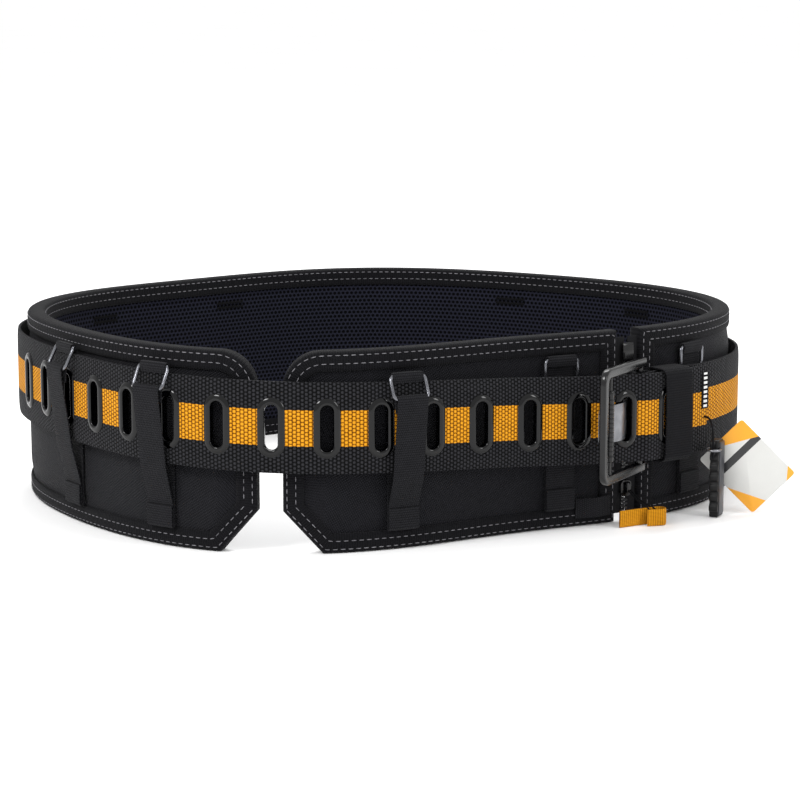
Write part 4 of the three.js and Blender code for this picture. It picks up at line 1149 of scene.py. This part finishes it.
# %% Clip
CLIP_AT, CLIP_HEADING, CLIP_HEIGHT, CLIP_DEPTH, CLIP_THICK = (225.2, -103.3), 67, 52, 14, 6
clip_matrix = np.array(Matrix.Translation(Vector((*(np.array(CLIP_AT) - BOX_MIDDLE) * MM, 0)))
                       @ Matrix.Rotation(math.radians(CLIP_HEADING), 4, "Z"))
scallop_pitch = (CLIP_HEIGHT - 4) / 7
edge = [(CLIP_DEPTH / 2, 0.2), (CLIP_DEPTH / 2, CLIP_HEIGHT - 3), (CLIP_DEPTH / 2 - 3, CLIP_HEIGHT)]
edge += [(1.6 - CLIP_DEPTH / 2, CLIP_HEIGHT)]
for k in range(7):
    peak = CLIP_HEIGHT - 2 - k * scallop_pitch
    edge += [(-CLIP_DEPTH / 2, peak - scallop_pitch * 0.15), (-CLIP_DEPTH / 2, peak - scallop_pitch * 0.6),
             (1.3 - CLIP_DEPTH / 2, peak - scallop_pitch * 0.75),
             (1.3 - CLIP_DEPTH / 2, peak - scallop_pitch * 0.95)]
edge += [(1.6 - CLIP_DEPTH / 2, 0.2)]
clip_outline = fillet([*edge, edge[0]], 1.2, 3)[:-1]
clip_body = make_piece("moulded_clip", *plate(
    clip_outline, -CLIP_THICK / 2, CLIP_THICK / 2, 0.7, clip_matrix), moulded_nylon, "clip", 40)
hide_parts("clip_plate")
face_outline = rounded_box(CLIP_DEPTH - 3.4, CLIP_HEIGHT - 3, 1.4, 4) + (1.2, CLIP_HEIGHT / 2)
face_plate = make_piece("clip_face_plate", *plate(face_outline, -CLIP_THICK / 2 - 0.5, -CLIP_THICK / 2 + 0.2,
                                                  0.25, clip_matrix), grey_face, "clip", 40)
LINK_RADIUS, LINK_WIRE = 4.5, 1.6
a = np.linspace(0, 2 * np.pi, 32, endpoint=False)
eye = np.array((-CLIP_DEPTH / 2 + 3.8 - LINK_RADIUS, 0, CLIP_HEIGHT - 6))
link_path = eye + np.stack([np.cos(a), np.sin(a), 0 * a], 1) * LINK_RADIUS
link_rows = rail(link_path, round_section(LINK_WIRE, 10), (0, 0, 1), closed=True)
link = make_piece("wire_link", *sweep(in_frame(link_rows, clip_matrix), closed=True), gunmetal, "clip")
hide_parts("clip_link")
a = np.linspace(0, 2 * np.pi * 3.2, 80)
COIL_RADIUS, COIL_WIRE = 1.6, 0.6
coil_path = np.stack([CLIP_DEPTH / 2 + COIL_WIRE + COIL_RADIUS * np.cos(a), -1.2 + 0.75 * a / 6.283,
                      23 + COIL_RADIUS * np.sin(a)], 1)
coil_rows = rail(coil_path, round_section(COIL_WIRE, 8), (0, 1, 0))
spring = make_piece("clip_coil", *sweep(in_frame(coil_rows, clip_matrix)), gunmetal, "clip")
print("clip:", len(clip_body.data.polygons), "faces")

# %% Card
card_stock, shader = start_material("coated_card_stock", Roughness=0.38, IOR=1.5, Coat_Weight=0.2)
cloth = cloth_map(card_stock)
parts = node(card_stock, "ShaderNodeSeparateXYZ", {0: cloth}).outputs


def printed(over, ink, slope_x, slope_y, limit):
    """Prints an ink where slope_x * x + slope_y * y is above a limit, in card millimetres."""
    first = maths(card_stock, "MULTIPLY", parts[0], slope_x)
    total = maths(card_stock, "MULTIPLY_ADD", parts[1], slope_y, first)
    where = maths(card_stock, "GREATER_THAN", total, limit)
    return node(card_stock, "ShaderNodeMix", {"Factor": where, 6: over, 7: linear(ink)},
                data_type="RGBA").outputs[2]


tint = fuzz(card_stock, 30)
paper = ramp(card_stock, tint, [(0.0, "#bcbcb9"), (1.0, "#c9c9c6")])
CARD_AMBER = "#e09a18"
picture = paper
for ink, slope_x, slope_y, limit in (("#242426", -1.0, 0.0, 7), ("#c6c6c3", -1.0, 0.0, 12),
                                     (CARD_AMBER, -1.0, 0.55, 20), (CARD_AMBER, 0.5, -1.0, 20),
                                     (CARD_AMBER, 1.0, 0.9, 36)):
    picture = printed(picture, ink, slope_x, slope_y, limit)
wire_up(card_stock, shader, Base_Color=picture)
CARD_AT, CARD_FACING, CARD_TURN = (246.5, -95.6, 32.2), -3, -45
CARD_SIZE = (51, 39)
card_matrix = np.array(Matrix.Translation(Vector(((CARD_AT[0] - BOX_MIDDLE[0]) * MM,
                                                  (CARD_AT[1] - BOX_MIDDLE[1]) * MM, CARD_AT[2] * MM)))
                       @ Matrix.Rotation(math.radians(CARD_FACING), 4, "Z")
                       @ Matrix.Rotation(math.radians(-CARD_TURN), 4, "Y"))
card = make_piece("information_card", *plate(rounded_box(*CARD_SIZE, 2, 4), -0.6, 0.0, 0.1, card_matrix, 1),
                  card_stock, "card", 60)
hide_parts("card")
print("card:", CARD_SIZE[0], "by", CARD_SIZE[1], "mm")

# %% [markdown]
# ## Floor and light
#
# A black object on white stands here in an even white room, which alone would give metal no
# bright marks. Three panel lights, above left, on the right and behind, add them.

# %% Floor
studio_paper, shader = start_material("matt_studio_paper", Roughness=0.9, IOR=1.45)
where = node(studio_paper, "ShaderNodeTexCoord").outputs["Object"]
grain = node(studio_paper, "ShaderNodeTexNoise", {"Vector": where, "Scale": 3, "Detail": 2}).outputs[0]
tint = ramp(studio_paper, grain, [(0.3, "#fbfbfb"), (0.7, "#fdfdfd")])
wire_up(studio_paper, shader, Base_Color=tint)
FLOOR = 30
verts = [(x * FLOOR, y * FLOOR, 0) for x, y in ((-1, -1), (1, -1), (1, 1), (-1, 1))]
mesh = bpy.data.meshes.new("studio_floor")
mesh.from_pydata(verts, [], [(0, 1, 2, 3)])
mesh.materials.append(studio_paper)
floor = bpy.data.objects.new("studio_floor", mesh)
floor.location.z = -0.0002
bpy.context.scene.collection.objects.link(floor)
print("floor:", 2 * FLOOR, "m wide")

# %% Lights
def panel_light(name, power, size, place_at, aim=(0, 0, 0.05)):
    light = bpy.data.lights.new(name, "AREA")
    light.shape, light.energy = "RECTANGLE", power
    light.size, light.size_y = size
    lamp = bpy.data.objects.new(name, light)
    lamp.location = place_at
    lamp.rotation_euler = (Vector(aim) - Vector(place_at)).to_track_quat("-Z", "Y").to_euler()
    bpy.context.scene.collection.objects.link(lamp)


panel_light("key_above_left", 24, (0.7, 0.5), (-1.1, -1.2, 1.5))
panel_light("fill_right", 9, (0.4, 0.8), (1.6, -1.1, 0.9))
panel_light("top_back", 20, (1.4, 0.6), (0.2, 0.9, 1.7))
ROOM_LIGHT = 1.03
world = bpy.data.worlds.new("white_studio")
world.use_nodes = True
sky = world.node_tree.nodes["Background"]
sky.inputs["Color"].default_value = (1, 1, 1, 1)
sky.inputs["Strength"].default_value = ROOM_LIGHT
bpy.context.scene.world = world
bpy.context.scene.view_settings.view_transform = "Standard"
print("lights: key, fill, top and a white room")
